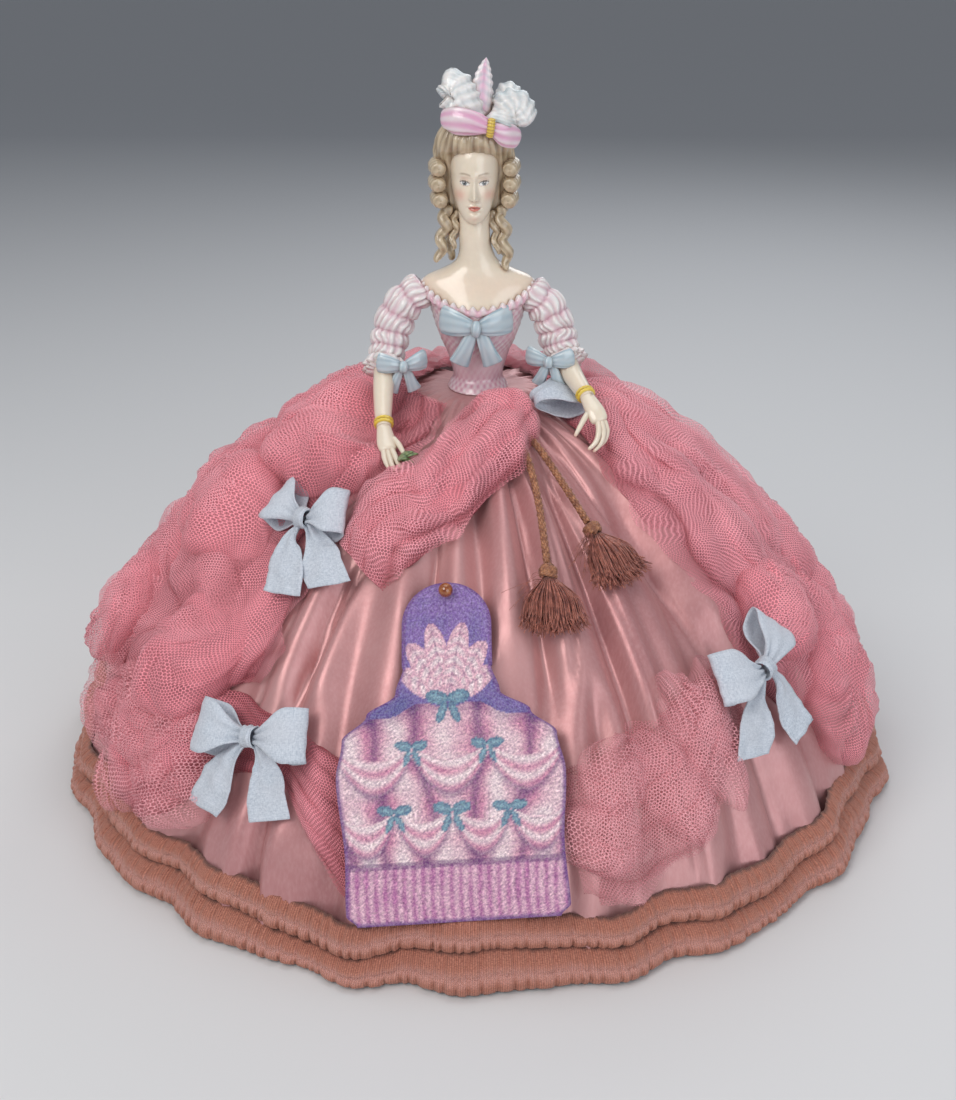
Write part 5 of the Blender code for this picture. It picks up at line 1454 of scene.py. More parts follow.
def bodiceColour(u, turn, spot):
    if spot.z > neckEdge(turn) + 0.2:
        warm = 0.16 * math.exp(-((spot.z - 47) / 6) ** 2)
        return blend(ivory, blushRose, warm)
    # Smocking cells painted whiter on their crests and deeper pink in their hollows: painted highlight and
    # shade. Deeper pink towards the waist.
    cells = bodiceCells(turn, spot.z)
    base = blend(bodicePink, glazeWhite, 0.35 + 0.65 * cells)
    waist = math.exp(-((spot.z - 5) / 4) ** 2)
    return blend(base, deepPink, 0.45 * max(0.0, -cells) + 0.35 * waist)


# Stations: height, half width, depth in front and behind, and how far back the middle lies
torsoStations = (
    (0.3, 13.4, 14.4, 12.0, 0.0),
    (2.4, 12.4, 12.8, 11.0, 0.0),
    (6.0, 10.8, 10.0, 9.0, 0.0),
    (15.0, 13.0, 11.2, 9.8, 0.0),
    (23.0, 16.2, 13.4, 10.8, 0.0),
    (30.0, 18.6, 15.4, 11.8, 0.0),
    (36.0, 20.2, 15.6, 12.4, 0.0),
    (41.0, 21.6, 13.4, 12.0, 0.0),
    (46.0, 24.0, 10.8, 10.6, 0.0),
    (49.5, 22.5, 9.2, 9.2, 0.2),
    (52.5, 16.0, 8.2, 8.2, 0.2),
    (56.0, 9.6, 7.2, 7.4, 0.0),
    (61.0, 7.2, 6.6, 6.8, -0.4),
    (68.0, 6.6, 6.4, 6.6, -1.0),
    (78.0, 6.6, 5.6, 7.4, -1.0),
)
headStations = (
    (74.4, 2.2, 1.8, 2.0, -7.6),
    (75.6, 4.2, 3.8, 4.0, -6.2),
    (78.4, 6.4, 7.0, 7.0, -3.8),
    (82.4, 8.0, 9.4, 9.0, -1.8),
    (87.0, 9.2, 10.6, 10.6, -0.7),
    (92.0, 9.9, 11.2, 11.6, 0.0),
    (97.0, 10.1, 11.4, 11.8, 0.0),
    (102.0, 9.5, 10.8, 11.4, 0.0),
    (107.0, 7.6, 8.6, 9.4, 0.4),
)
hairStations = (
    (70.0, 9.0, 1.5, 7.0, 5.0),
    (76.0, 13.2, 2.2, 10.6, 3.4),
    (82.0, 14.8, 3.0, 12.2, 2.8),
    (90.0, 15.8, 3.8, 13.4, 2.2),
    (97.0, 16.4, 5.0, 14.0, 1.6),
    (101.0, 16.6, 7.4, 14.2, 1.2),
    (104.0, 16.4, 11.4, 14.0, 1.0),
    (107.5, 15.8, 13.4, 13.6, 1.0),
    (111.0, 14.4, 12.6, 12.4, 1.0),
    (115.0, 10.8, 9.4, 9.2, 1.0),
    (117.5, 4.6, 4.0, 4.0, 1.0),
)


def bump(x, z, middleX, middleZ, spreadX, spreadZ):
    return math.exp(-(((x - middleX) / spreadX) ** 2) - ((z - middleZ) / spreadZ) ** 2)


# A plain classical face by rule: eyes at the middle, a third each for brow, nose and chin.
def faceRelief(x, z):
    side = abs(x)
    sockets = -1.15 * bump(side, z, 3.9, 91.6, 2.6, 1.8)
    balls = 0.80 * bump(side, z, 4.0, 91.3, 1.75, 1.2)
    lids = 0.28 * bump(side, z, 4.0, 92.6, 2.0, 0.38) + 0.16 * bump(side, z, 4.0, 90.0, 1.8, 0.35)
    brows = 0.45 * bump(side, z, 4.0, 94.6, 3.0, 0.9)
    fall = ease((92.5 - z) / 7.0) * ease((z - 83.9) / 1.0)
    ridge = math.exp(-((x / (0.95 + 0.35 * fall)) ** 2))
    bridge = (0.7 + 1.9 * fall) * ridge * ease((z - 83.9) / 1.0) * ease((97 - z) / 5)
    tip = 1.0 * bump(x, z, 0, 85.6, 1.25, 1.2)
    wings = 1.0 * bump(side, z, 1.55, 85.0, 0.65, 0.75)
    groove = -0.22 * bump(x, z, 0, 83.0, 0.5, 0.7)
    mouth = 0.85 * bump(x, z, 0, 82.0, 2.2, 0.62) + 0.85 * bump(x, z, 0, 80.5, 1.9, 0.70)
    parting = -0.55 * bump(x, z, 0, 81.3, 2.4, 0.20) - 0.3 * bump(side, z, 2.7, 81.3, 0.6, 0.5)
    under = -0.45 * bump(x, z, 0, 79.2, 2.2, 0.6)
    chin = 0.9 * bump(x, z, 0, 77.2, 2.4, 1.7)
    cheeks = 0.5 * bump(side, z, 5.6, 86.2, 2.6, 2.9)
    eyes = sockets + balls + lids + brows
    nose = bridge + tip + wings + groove
    return eyes + nose + mouth + parting + under + chin + cheeks


# Iris, pupil and glint: place across and up, radius, colour
eyeRings = (
    (4.0, 91.42, 0.92, (0.135, 0.165, 0.175)),
    (4.0, 91.42, 0.42, (0.012, 0.010, 0.010)),
    (4.25, 91.80, 0.20, (0.90, 0.90, 0.90)),
)


def faceColour(u, turn, spot):
    x = spot.x - headLean
    z = spot.z
    side = abs(x)
    shade = blend(ivory, blushRose, 0.62 * bump(side, z, 6.1, 86.4, 2.3, 2.3))
    warm = 0.20 * bump(x, z, 0, 76.8, 2.0, 1.2) + 0.16 * bump(side, z, 4.0, 93.4, 2.4, 0.8)
    shade = blend(shade, blushRose, warm)
    if spot.y > -3:
        return shade
    opening = 0.95 * math.sqrt(max(0.0, 1 - ((side - 4.0) / 2.05) ** 2))
    middle = 91.3 + 0.10 * (side - 4.0)
    if opening and abs(z - middle) < opening:
        shade = (0.82, 0.80, 0.76)
        for across, up, reach, colour in eyeRings:
            if math.hypot(side - across, z - up) < reach:
                shade = colour
    if opening and abs(z - middle - opening) < 0.26:
        shade = blend(shade, (0.05, 0.025, 0.015), 0.92)
    if opening and abs(z - middle + opening) < 0.14:
        shade = blend(shade, (0.42, 0.18, 0.12), 0.55)
    fold = math.exp(-(((z - middle - opening - 0.75) / 0.20) ** 2)) * (1.6 < side < 6.2)
    shade = blend(shade, (0.50, 0.24, 0.16), 0.5 * fold)
    browLine = 94.6 + 0.75 * math.sin(math.pi * (side - 1.4) / 6.4)
    strength = ease((side - 1.3) / 0.7) * ease((6.9 - side) / 2.0)
    shade = blend(shade, (0.24, 0.14, 0.075), 0.72 * strength * math.exp(-(((z - browLine) / 0.36) ** 2)))
    reach = max(0.0, 1 - (x / 2.55) ** 2)
    upper = 81.3 + 1.05 * reach - 0.30 * math.exp(-((x / 0.55) ** 2))
    lower = 81.3 - 1.30 * reach**0.8
    if lower < z < upper and reach:
        shade = blend(shade, lipRose, 0.9)
    if reach:
        shade = blend(shade, (0.27, 0.035, 0.03), 0.8 * math.exp(-(((z - 81.3) / 0.17) ** 2)))
    nostril = bump(side, z, 0.85, 84.15, 0.38, 0.24)
    return blend(shade, (0.40, 0.12, 0.08), 0.75 * nostril)


def hairRelief(height, turn):
    wave = 0.5 * math.sin(height / 3.0 + 2.0 * math.sin(turn)) + 0.25 * math.sin(height / 1.7)
    strand = math.cos(30 * turn + wave) * 0.020 + math.cos(74 * turn + 1.7 * wave + 1.0) * 0.010
    return strand + 0.022 * math.cos(9 * turn + 0.4 * height)


# Hair painted lighter on raised strands and darker between them (painted highlight and shade), with random
# streaks.
def hairColour(u, turn, spot):
    strand = hairRelief(spot.z, turn) / 0.045
    streak = noise.noise(Vector((turn * 7, spot.z / 14, 3.0)))
    return blend(hairDark, hairLight, 0.62 + 0.55 * strand + 0.35 * streak)


def addHead():
    clay = Clay()
    rows = ovalRows(torsoStations, 108, 76, 0.0, None, bodiceRelief)
    clay.paint(rows, bodiceColour)
    rows = ovalRows(headStations, 176, 118, 0.42, faceRelief)
    clay.paint(rows, faceColour)
    return clay.make("figureBody")


# One ringlet: a strand wound into a hanging coil that thins to its end.
def curlRows(start, end, thick, turns, swing, sides, steps):
    middles, sizes = [], []
    for k in range(steps + 1):
        share = k / steps
        middle = Vector(start).lerp(Vector(end), share)
        spin = 2 * math.pi * turns * share
        reach = swing * ease(4 * share) * (1 - 0.35 * share)
        middle += Vector((math.cos(spin) * reach, math.sin(spin) * reach, 0))
        middles.append(tuple(middle))
        girth = thick * (1 - 0.42 * share**3)
        sizes.append((girth, girth))
    return limbRows(middles, sizes, sides, steps, (0, 1, 0.2), curlRelief, (0.06, 0.08))


def curlRelief(u, turn):
    return 0.07 * math.cos(5 * turn + 9 * u)


# Ringlets painted lighter on their ridges and darker in their grooves: painted highlight and shade.
def curlColour(u, turn, spot):
    return blend(hairDark, hairLight, 0.68 + 0.38 * math.cos(5 * turn + 9 * u) + 0.15 * math.sin(40 * u))


def rollRelief(u, turn):
    return 0.05 * math.cos(2 * turn + 48 * u) + 0.02 * math.cos(11 * turn)


# Hair rolls painted lighter on their ridges and darker in their grooves: painted highlight and shade.
def rollColour(u, turn, spot):
    return blend(hairDark, hairLight, 0.74 + 0.36 * math.cos(2 * turn + 48 * u))


# Ringlets: where each starts and ends, its thickness, turns and swing
ringlets = (
    ((-12.5, 0.5, 80.0), (-16.8, -3.4, 56.5), 2.5, 2.6, 1.5),
    ((-9.0, 4.5, 78.0), (-12.5, 4.8, 55.0), 2.3, 2.2, 1.4),
    ((-8.6, 0.0, 78.0), (-11.0, -4.2, 62.0), 1.6, 2.2, 1.1),
    ((9.5, 0.5, 80.0), (13.0, -4.4, 53.5), 2.5, 2.7, 1.5),
    ((7.0, 4.5, 78.0), (10.3, 4.6, 57.0), 2.2, 2.2, 1.4),
    ((5.8, 0.0, 78.0), (8.4, -4.6, 60.0), 1.6, 2.2, 1.1),
)


def addHair():
    clay = Clay()
    rows = ovalRows(hairStations, 184, 68, 0.0, None, hairRelief)
    clay.paint(rows, hairColour)
    for side in (-1, 1):
        for height, out in ((96.5, 14.6), (90.0, 14.8), (83.4, 14.0)):
            x = headLean + side * out
            middles = ((x, -5.6, height - 1.0), (x + side, 0.5, height), (x, 7.0, height + 1.0))
            sizes = ((2.9, 2.9), (3.7, 3.5), (2.4, 2.4))
            rows = limbRows(middles, sizes, 40, 22, (1, 0, 0), rollRelief, (0.12, 0.2))
            clay.paint(rows, rollColour)
    for start, end, thick, turns, swing in ringlets:
        rows = curlRows(start, end, thick, turns, swing, 22, 70)
        clay.paint(rows, curlColour)
    return clay.make("figureHair")


# Plumes: path, sizes along it and kind, then the wrap at their foot and its clasp
plumeShapes = (
    (((1, -3, 112), (1.2, -5, 122), (2.2, -4, 133), (3.4, -2, 140)),
     ((3.0, 2.0), (4.8, 1.5), (3.5, 1.1), (0.6, 0.5)), 0),
    (((-1, -5, 112), (-6, -7, 122), (-10.5, -6, 128.5), (-14.6, -6, 125.0)),
     ((5.5, 3.4), (8.0, 4.0), (7.6, 4.0), (4.4, 3.4)), 1),
    (((4, -5, 112), (9, -7, 118), (15.5, -6, 121), (21, -7, 114.5)),
     ((5.5, 3.4), (7.6, 4.0), (7.0, 4.0), (4.4, 3.4)), 2),
    (((3, -1, 112), (7, 1, 120), (12, 1, 124.5), (17, -1, 121.5)),
     ((5.5, 3.2), (7.2, 3.6), (5.8, 3.2), (3.4, 2.6)), 2),
)
wrapPath = (
    (-15.0, -7.5, 117.5), (-9.0, -11.5, 117.0), (-1.0, -13.2, 116.0),
    (5.2, -13.6, 114.4), (11.5, -12.0, 111.5), (17.0, -8.0, 108.5),
)
wrapSizes = ((3.6, 1.6), (5.4, 2.5), (4.4, 2.4), (2.8, 2.0), (4.8, 2.4), (3.6, 1.6))
claspPath = ((5.6, -14.8, 118.6), (5.2, -15.6, 114.6), (4.6, -14.8, 110.8))
claspSizes = ((1.5, 1.3), (1.6, 1.4), (1.4, 1.2))


def plumeRelief(u, turn):
    barbs = math.cos(58 * u + 4 * abs(math.cos(turn)) + 0.8 * math.sin(9 * u)) * 0.075
    shaft = -0.10 * math.exp(-((math.cos(turn) / 0.16) ** 2))
    return barbs * abs(math.cos(turn)) ** 0.5 + shaft + 0.035 * math.cos(17 * turn)


def plumeColour(kind):
    def colour(u, turn, spot):
        edge = abs(math.cos(turn))
        if kind == 0:
            shade = blend(glazeWhite, mauve, 0.75 * math.exp(-(((turn % math.pi) - 1.57) ** 2) * 6) + 0.15)
        elif kind == 1:
            shade = blend(glazeWhite, plumeGrey, 0.55 * edge**6 * ease((u - 0.35) * 3))
        else:
            shade = blend(glazeWhite, plumeGrey, 0.60 * edge**4)
        # Painted shade: grey in the grooves between barbs, and mauve towards the foot where the plumes go
        # into the wrap.
        groove = 0.5 + 0.5 * math.cos(58 * u + 4 * edge + 0.8 * math.sin(9 * u))
        shade = blend(shade, plumeGrey, 0.38 * (1 - groove) ** 1.5)
        return blend(shade, mauve, 0.55 * (1 - ease(u * 4)))

    return colour


def wrapFold(u, turn):
    return math.cos(7 * turn + 5 * u + 2 * math.sin(7 * u))


def wrapRelief(u, turn):
    return 0.10 * wrapFold(u, turn) * math.sin(math.pi * u)


# The wrap's fold crests painted white on mauve: painted highlights.
def wrapColour(u, turn, spot):
    return blend(mauve, glazeWhite, 0.22 + 0.34 * wrapFold(u, turn) + 0.2 * math.sin(9 * u))


def claspRelief(u, turn):
    return 0.12 * math.cos(16 * math.pi * u)


def claspColour(u, turn, spot):
    return blend(clayYellow, (0.50, 0.30, 0.02), 0.5 - 0.5 * math.cos(16 * math.pi * u))


def addPlumes():
    clay = Clay()
    for middles, sizes, kind in plumeShapes:
        rows = limbRows(middles, sizes, 56, 52, (0.7, 0.2, 0.7), plumeRelief, (0.0, 0.16))
        clay.paint(rows, plumeColour(kind))
    rows = limbRows(wrapPath, wrapSizes, 48, 70, (0, 0, 1), wrapRelief, (0.08, 0.08))
    clay.paint(rows, wrapColour)
    rows = limbRows(claspPath, claspSizes, 20, 26, (1, 0, 0), claspRelief, (0.12, 0.12))
    clay.paint(rows, claspColour)
    return clay.make("figurePlumes")


# Ridges painted lighter as highlight, grooves and the parts next to the knot painted darker as shade.
def bowColour(lines, shaded):
    def colour(u, turn, spot):
        ridge = math.cos(lines * turn + 2.4 * math.sin(3 * u + 2 * math.sin(turn)))
        ridge *= 0.6 + 0.4 * math.cos(2 * turn)
        shade = blend(bowBlue, bowLight, 0.35 + 0.45 * ridge)
        return blend(shade, bowShade, 0.5 * (1 - ease(3 * u)) * shaded + 0.22 * max(0.0, -ridge))

    return colour


def loopRelief(u, turn):
    return 0.055 * math.cos(9 * turn + 1.5 * u) * (1 - 0.5 * u)


def tailRelief(u, turn):
    return 0.05 * math.cos(7 * turn + 2 * u)


def knotRelief(u, turn):
    return 0.06 * math.cos(6 * turn)


# Loops: place along, puff and half width; tails: place along, fall, half width and depth
loopShape = (
    (0.0, 0.2, 0.14, 1.0), (0.30, 0.85, 0.28, 1.6), (0.62, 1.0, 0.38, 1.8),
    (0.88, 0.6, 0.42, 1.6), (1.02, 0.1, 0.40, 1.2),
)
tailShape = (
    (0.06, 0.0, 0.12, 0.9), (0.20, -0.35, 0.19, 1.1), (0.34, -0.72, 0.23, 1.2), (0.50, -1.1, 0.30, 1.0),
)


def addClayBow(clay, centre, size, turnedBy, wrap):
    centre = Vector(centre)
    right = Vector((math.cos(math.radians(turnedBy)), math.sin(math.radians(turnedBy)), 0)) * size
    back = Vector((-right.y, right.x, 0)).normalized()
    up = Vector((0, 0, size))
    for side in (-1, 1):
        loop, tail = [], []
        for t, puff, _, _ in loopShape:
            loop.append(tuple(centre + right * side * t + back * (wrap * t * t - puff) + up * (0.20 * t)))
        for out, fall, _, _ in tailShape:
            tail.append(tuple(centre + right * side * out + back * wrap * out * out + up * fall))
        loopSizes = [(wide * size, deep) for _, _, wide, deep in loopShape]
        tailSizes = [(wide * size, deep) for _, _, wide, deep in tailShape]
        rows = limbRows(loop, loopSizes, 48, 36, (0, 0, 1), loopRelief, (0.0, 0.22))
        clay.paint(rows, bowColour(9, 1.0))
        rows = limbRows(tail, tailSizes, 40, 34, tuple(right), tailRelief, (0.0, 0.06))
        clay.paint(rows, bowColour(7, 1.0))
    knot = [tuple(centre - back * puff + up * rise) for rise, puff in ((0.24, 0.6), (0.0, 1.5), (-0.24, 0.6))]
    knotSizes = ((1.7, 1.4), (2.2, 2.1), (1.7, 1.4))
    rows = limbRows(knot, knotSizes, 28, 22, (1, 0, 0), knotRelief, (0.3, 0.3))
    clay.paint(rows, bowColour(6, 0.2))


def sleeveFolds(u, turn, seed):
    uneven = noise.noise(Vector((math.cos(turn) * 1.6, math.sin(turn) * 1.6, 5 * u + seed)))
    tier = abs(math.sin(5 * math.pi * u + 0.55 * uneven)) ** 0.5
    return tier, math.cos(15 * turn + 5.0 * uneven + 1.9 * math.sin(16 * u + seed))


def sleeveRelief(seed):
    def relief(u, turn):
        tier, gather = sleeveFolds(u, turn, seed)
        flutter = 0.05 * noise.noise(Vector((math.cos(turn) * 2, math.sin(turn) * 2, 7 * u + seed)))
        return 0.20 * tier - 0.11 + gather * 0.075 * (0.35 + 0.65 * tier) + flutter

    return relief


# Sleeve tiers painted whiter on their crests and deeper pink in their troughs: painted highlight and shade.
def sleeveColour(seed):
    def colour(u, turn, spot):
        tier, gather = sleeveFolds(u, turn, seed)
        shade = blend(bodicePink, glazeWhite, 0.25 + 0.55 * tier + 0.25 * gather)
        return blend(shade, deepPink, 0.55 * (1 - tier) ** 2 + 0.12 * max(0.0, -gather))

    return colour


def cuffRelief(u, turn):
    return 0.10 * u * math.cos(11 * turn + 2 * math.sin(3 * turn)) + 0.02 * math.cos(44 * turn) * u


# Cuff ridges painted whiter and grooves pinker (painted highlight and shade); the lace marks are pattern.
def cuffColour(u, turn, spot):
    ridge = math.cos(11 * turn + 2 * math.sin(3 * turn))
    lace = 0.12 * (math.cos(44 * turn) * math.cos(30 * u) < -0.3)
    return blend(glazeWhite, bodicePink, 0.15 + lace - 0.3 * ridge * (1 - 0.5 * u))


def skinColour(u, turn, spot):
    return ivory


def bangleColour(u, turn, spot):
    return clayYellow


def bangleRelief(u, turn):
    return 0.03 * math.cos(14 * turn)


def fingerRelief(u, turn):
    return 0.06 * math.exp(-(((u - 0.36) / 0.07) ** 2)) + 0.05 * math.exp(-(((u - 0.68) / 0.06) ** 2))


def fingerColour(u, turn, spot):
    return blend(ivory, blushRose, 0.45 * ease((u - 0.85) * 10))  # a warm tip for the nail


# Arms: shoulder to wrist, the hand, and the fingers with the thumb last
armPaths = (
    (
        ((-23.0, 0.0, 45.0), (-33.5, -1.5, 36.0), (-38.0, -4.5, 24.0), (-40.0, -10.0, 15.0),
         (-40.6, -21.0, 7.5), (-40.4, -32.0, -0.6), (-39.7, -39.7, -4.7)),
        ((-39.5, -41.2, -5.5), (-38.2, -48.2, -8.3), (-37.0, -52.7, -10.3)),
        (
            ((-39.4, -50.6, -9.6), (-38.8, -55.4, -11.6), (-38.0, -58.2, -13.0), (-36.8, -60.6, -14.4)),
            ((-37.9, -51.0, -9.8), (-36.4, -56.8, -11.9), (-35.4, -59.8, -13.4), (-33.8, -62.4, -14.8)),
            ((-36.2, -50.6, -9.4), (-34.2, -56.2, -11.4), (-33.0, -59.2, -12.8), (-31.2, -61.6, -14.0)),
            ((-35.8, -46.2, -6.8), (-33.2, -50.0, -8.0), (-31.6, -53.0, -9.4), (-30.2, -56.6, -11.0)),
        ),
    ),
    (
        ((21.5, 0.0, 44.0), (30.5, -1.5, 35.0), (34.5, -4.0, 24.5), (37.0, -8.5, 16.5),
         (40.5, -16.0, 11.0), (44.0, -24.5, 7.5), (46.6, -31.0, 5.4)),
        ((46.8, -31.8, 5.0), (49.6, -37.4, 1.4), (51.6, -41.0, -2.2)),
        (
            ((53.0, -39.6, -1.4), (54.2, -42.2, -5.0), (53.2, -44.4, -8.6), (50.2, -45.6, -11.6)),
            ((51.8, -40.2, -1.4), (52.6, -44.4, -5.0), (51.4, -46.8, -9.0), (48.2, -48.4, -12.2)),
            ((50.4, -40.0, -1.2), (50.6, -45.0, -4.6), (49.2, -47.6, -8.2), (46.0, -49.0, -11.0)),
            ((47.4, -35.6, 1.8), (44.8, -40.2, -0.4), (42.6, -44.2, -2.8), (40.4, -48.0, -5.4)),
        ),
    ),
)


def addArm(name, points, hand, fingers, bow, seed):
    clay = Clay()
    upper = points[:4]
    girths = [(6.6 + 1.2 * math.sin(math.pi * k / 10),) * 2 for k in range(11)]  # fullest at the middle
    rows = limbRows(upper, girths, 88, 84, (0, 1, 0), sleeveRelief(seed), (0.0, 0.02))
    clay.paint(rows, sleeveColour(seed))
    course = [tuple(spot) for spot in flow(points[2:5], 6)][2:5]
    for reach, girth in ((0.0, 0.0), (1.4, -1.3)):
        line = [(spot[0], spot[1] - reach * 0.8, spot[2] - reach * 0.6) for spot in course]
        sizes = [(size + girth, size + girth) for size in (5.6, 7.6, 9.3)]
        rows = limbRows(line, sizes, 132, 22, (0, 1, 0), cuffRelief)
        clay.paint(rows, cuffColour)
    rows = limbRows(points[3:], ((5.0, 5.0), (4.5, 4.5), (3.8, 3.8), (3.1, 2.9)), 44, 44)
    clay.paint(rows, skinColour)
    end, before = Vector(points[-1]), Vector(points[-2])
    heading = (end - before).normalized()
    for back in (1.8, 3.4):
        middle = end - heading * back
        ring = [tuple(middle - heading * 0.7), tuple(middle), tuple(middle + heading * 0.7)]
        rows = limbRows(ring, ((3.7, 3.6), (4.25, 4.15), (3.7, 3.6)), 44, 8, (1, 0, 0), bangleRelief)
        clay.paint(rows, bangleColour)
    palm = ((3.0, 2.6), (3.3, 2.4), (4.1, 2.3), (3.5, 1.9))
    rows = limbRows([points[-1], *hand], palm, 40, 26, (1, 0, 0), None, (0.0, 0.15))
    clay.paint(rows, skinColour)
    for finger in fingers:
        sizes = ((1.35, 1.35), (1.22, 1.22), (1.05, 1.05), (0.72, 0.72))
        rows = limbRows(finger, sizes, 18, 30, (1, 0, 0), fingerRelief, (0.05, 0.10))
        clay.paint(rows, fingerColour)
    addClayBow(clay, *bow)
    return clay.make(name)


# Moulded bows: centre, size, degrees turned and how far they wrap round
armBows = (((-32.2, -19.6, 15.6), 10.6, 14, 2.6), ((30.6, -16.4, 16.6), 10.2, -14, 2.6))
chestBow = ((-0.8, -16.6, 31.4), 15.2, 0, 5.6)
frillSettings = {"steps": 260, "around": 16, "flutes": 34}
leafRoot = Vector((-31.0, -58.2, -10.9))
# How far each leaf reaches from the hand
leafTips = ((6.5, 0.8, 1.6), (5.2, -3.2, -0.8), (3.2, 4.0, 1.4), (4.4, 1.6, 2.2), (2.0, -3.6, 0.8))


def leafColour(u, turn, spot):
    return blend(leafGreen, (0.16, 0.27, 0.07), 0.5 + 0.5 * math.cos(24 * u))


# The frilled neckline, the big chest bow and the leaves in her hand.
def addTrim():
    clay = Clay()
    rows, colours = [], []
    count, around, flutes = (frillSettings[key] for key in ("steps", "around", "flutes"))
    for i in range(count):
        turn = 2 * math.pi * i / count
        front = max(0.0, -math.sin(turn))
        depth = 13.6 if math.sin(turn) < 0 else 11.0
        height = 45.5 - 8.0 * front**1.5 + 0.45 * math.cos(flutes * turn)
        middle = Vector((23.4 * math.cos(turn), depth * math.sin(turn) * (1 + 0.10 * front), height))
        outward = Vector((math.cos(turn), math.sin(turn), 0))
        row = []
        for k in range(around):
            spin = 2 * math.pi * k / around
            flute = 1 + 0.30 * math.cos(flutes * turn) * max(0.0, math.sin(spin))
            upward = Vector((0, 0, 2.0 * math.sin(spin) * flute))
            row.append(middle + outward * 1.5 * math.cos(spin) * flute + upward)
        rows.append(row)
    rows.append(rows[0])
    # Frill painted whiter on its flute crests and along its top side: painted highlight.
    for i in range(count + 1):
        ridge = math.cos(flutes * 2 * math.pi * i / count)
        shares = [0.25 + 0.4 * ridge + 0.35 * (k in (3, 4, 5)) for k in range(around)]
        colours.append([blend(bodicePink, glazeWhite, share) for share in shares])
    clay.add(rows, colours)
    addClayBow(clay, *chestBow)
    start = leafRoot - Vector((2.2, 0, 0.6))
    for reach in leafTips:
        tip = leafRoot + Vector(reach)
        middles = (tuple(start), tuple(start.lerp(tip, 0.55) + Vector((0, 0, 0.8))), tuple(tip))
        rows = limbRows(middles, ((0.5, 0.5), (2.0, 0.6), (0.4, 0.3)), 16, 20, (0, 1, 0), None, (0.1, 0.15))
        clay.paint(rows, leafColour)
    return clay.make("figureTrim")


def porcelainMaterial():
    material, tree, shader = startMaterial("glazedPorcelain", (0.83, 0.73, 0.58), 0.30, {
        "Coat Weight": 0.9, "Coat Roughness": 0.09, "Subsurface Weight": 0.08,
        "Subsurface Radius": (0.002, 0.0012, 0.0008),
    })
    paint = painted(tree)
    # Painted shade: the colour is darkened in hollows found by ambient occlusion.
    hollow = addNode(tree, "ShaderNodeAmbientOcclusion", {"samples": 4}, {"Distance": 0.0016}).outputs["AO"]
    hollowShade = mixColour(tree, remap(tree, hollow, 0.35, 0.95), (0.62, 0.50, 0.44), (1.0, 1.0, 1.0))
    body = mixColour(tree, 0.85, paint, hollowShade, "MULTIPLY")
    mottle = remap(tree, noiseOf(tree, placed(tree), 420.0, 4.0), 0.30, 0.72)
    feed(tree, mixColour(tree, mottle, mixColour(tree, 0.12, body, (0.55, 0.42, 0.34)), body), shader)
    bumped(tree, shader, noiseOf(tree, placed(tree), 260.0, 2.0), 0.06, 0.0004)
    return material


porcelain = porcelainMaterial()
figureBody = addHead()
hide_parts("porcelain_half_doll")
addHair()
addPlumes()
addArm("figureArmLeft", *armPaths[0], armBows[0], 1.0)
addArm("figureArmRight", *armPaths[1], armBows[1], 4.0)
addTrim()
print("stage: porcelain figure")

# Picture card and its pin

cardSettings = {
    "place": (-4.2, 0.640), "tilt": 5.0, "wide": 88.0, "high": 131.0, "neck": 0.40, "thick": 1.4,
    "rows": 204, "across": 104,
}
# Outline of the card's side: share of the width and share of the height
cardSide = (
    (0.44, 0.0),
    (0.485, 0.035),
    (0.475, 0.2),
    (0.5, 0.42),
    (0.47, 0.53),
    (0.36, 0.60),
    (0.23, 0.66),
    (0.195, 0.74),
)
dusk = (0.055, 0.085, 0.27)
violet = (0.24, 0.15, 0.42)
plum = (0.085, 0.015, 0.12)
cream = (0.94, 0.76, 0.75)
petal = (0.70, 0.27, 0.38)
teal = (0.045, 0.20, 0.27)


def cardHalf(share):
    neck = cardSettings["neck"] * cardSettings["wide"] / 2
    archStart = 1 - neck / cardSettings["high"]
    if share >= archStart:
        rise = (share - archStart) / (1 - archStart)
        return neck * math.sqrt(max(0.0, 1 - rise * rise))
    for (wide, low), (narrow, high) in zip(cardSide, cardSide[1:]):
        if share <= high:
            return cardSettings["wide"] * (wide + (narrow - wide) * ease((share - low) / (high - low)))
    return neck


# How far inside a leaning oval a place is, and the place along and across it.
def ovalAt(x, y, middle, lean, reach):
    turn = math.radians(lean)
    dx, dy = x - middle[0], y - middle[1]
    length = dx * math.sin(turn) + dy * math.cos(turn)
    over = dx * math.cos(turn) - dy * math.sin(turn)
    return 1 - (length / reach[0]) ** 2 - (over / reach[1]) ** 2, length, over


# The printed bows: their middles and sizes, and the ovals of one, by lean, place and half width
printedBows = (
    ((0, 84), 5.5), ((-14.5, 66), 4.2), ((14.5, 66), 4.2),
    ((-22, 42), 4.4), ((0, 42), 4.8), ((22, 42), 4.4),
)
bowOvals = (
    (78, 0.75, 0.15, 0.48), (-78, -0.75, 0.15, 0.48), (24, -0.45, -0.95, 0.3), (-24, 0.45, -0.95, 0.3),
)


def paintBow(shade, x, y, middle, size):
    for lean, out, up, wide in bowOvals:
        spot = (middle[0] + out * size, middle[1] + up * size)
        inside, _, over = ovalAt(x, y, spot, lean, (0.8 * size, wide * size))
        if inside > 0:
            shade = blend(teal, (0.22, 0.42, 0.48), 0.75 * inside + 0.3 * math.cos(over * 3))
    return shade


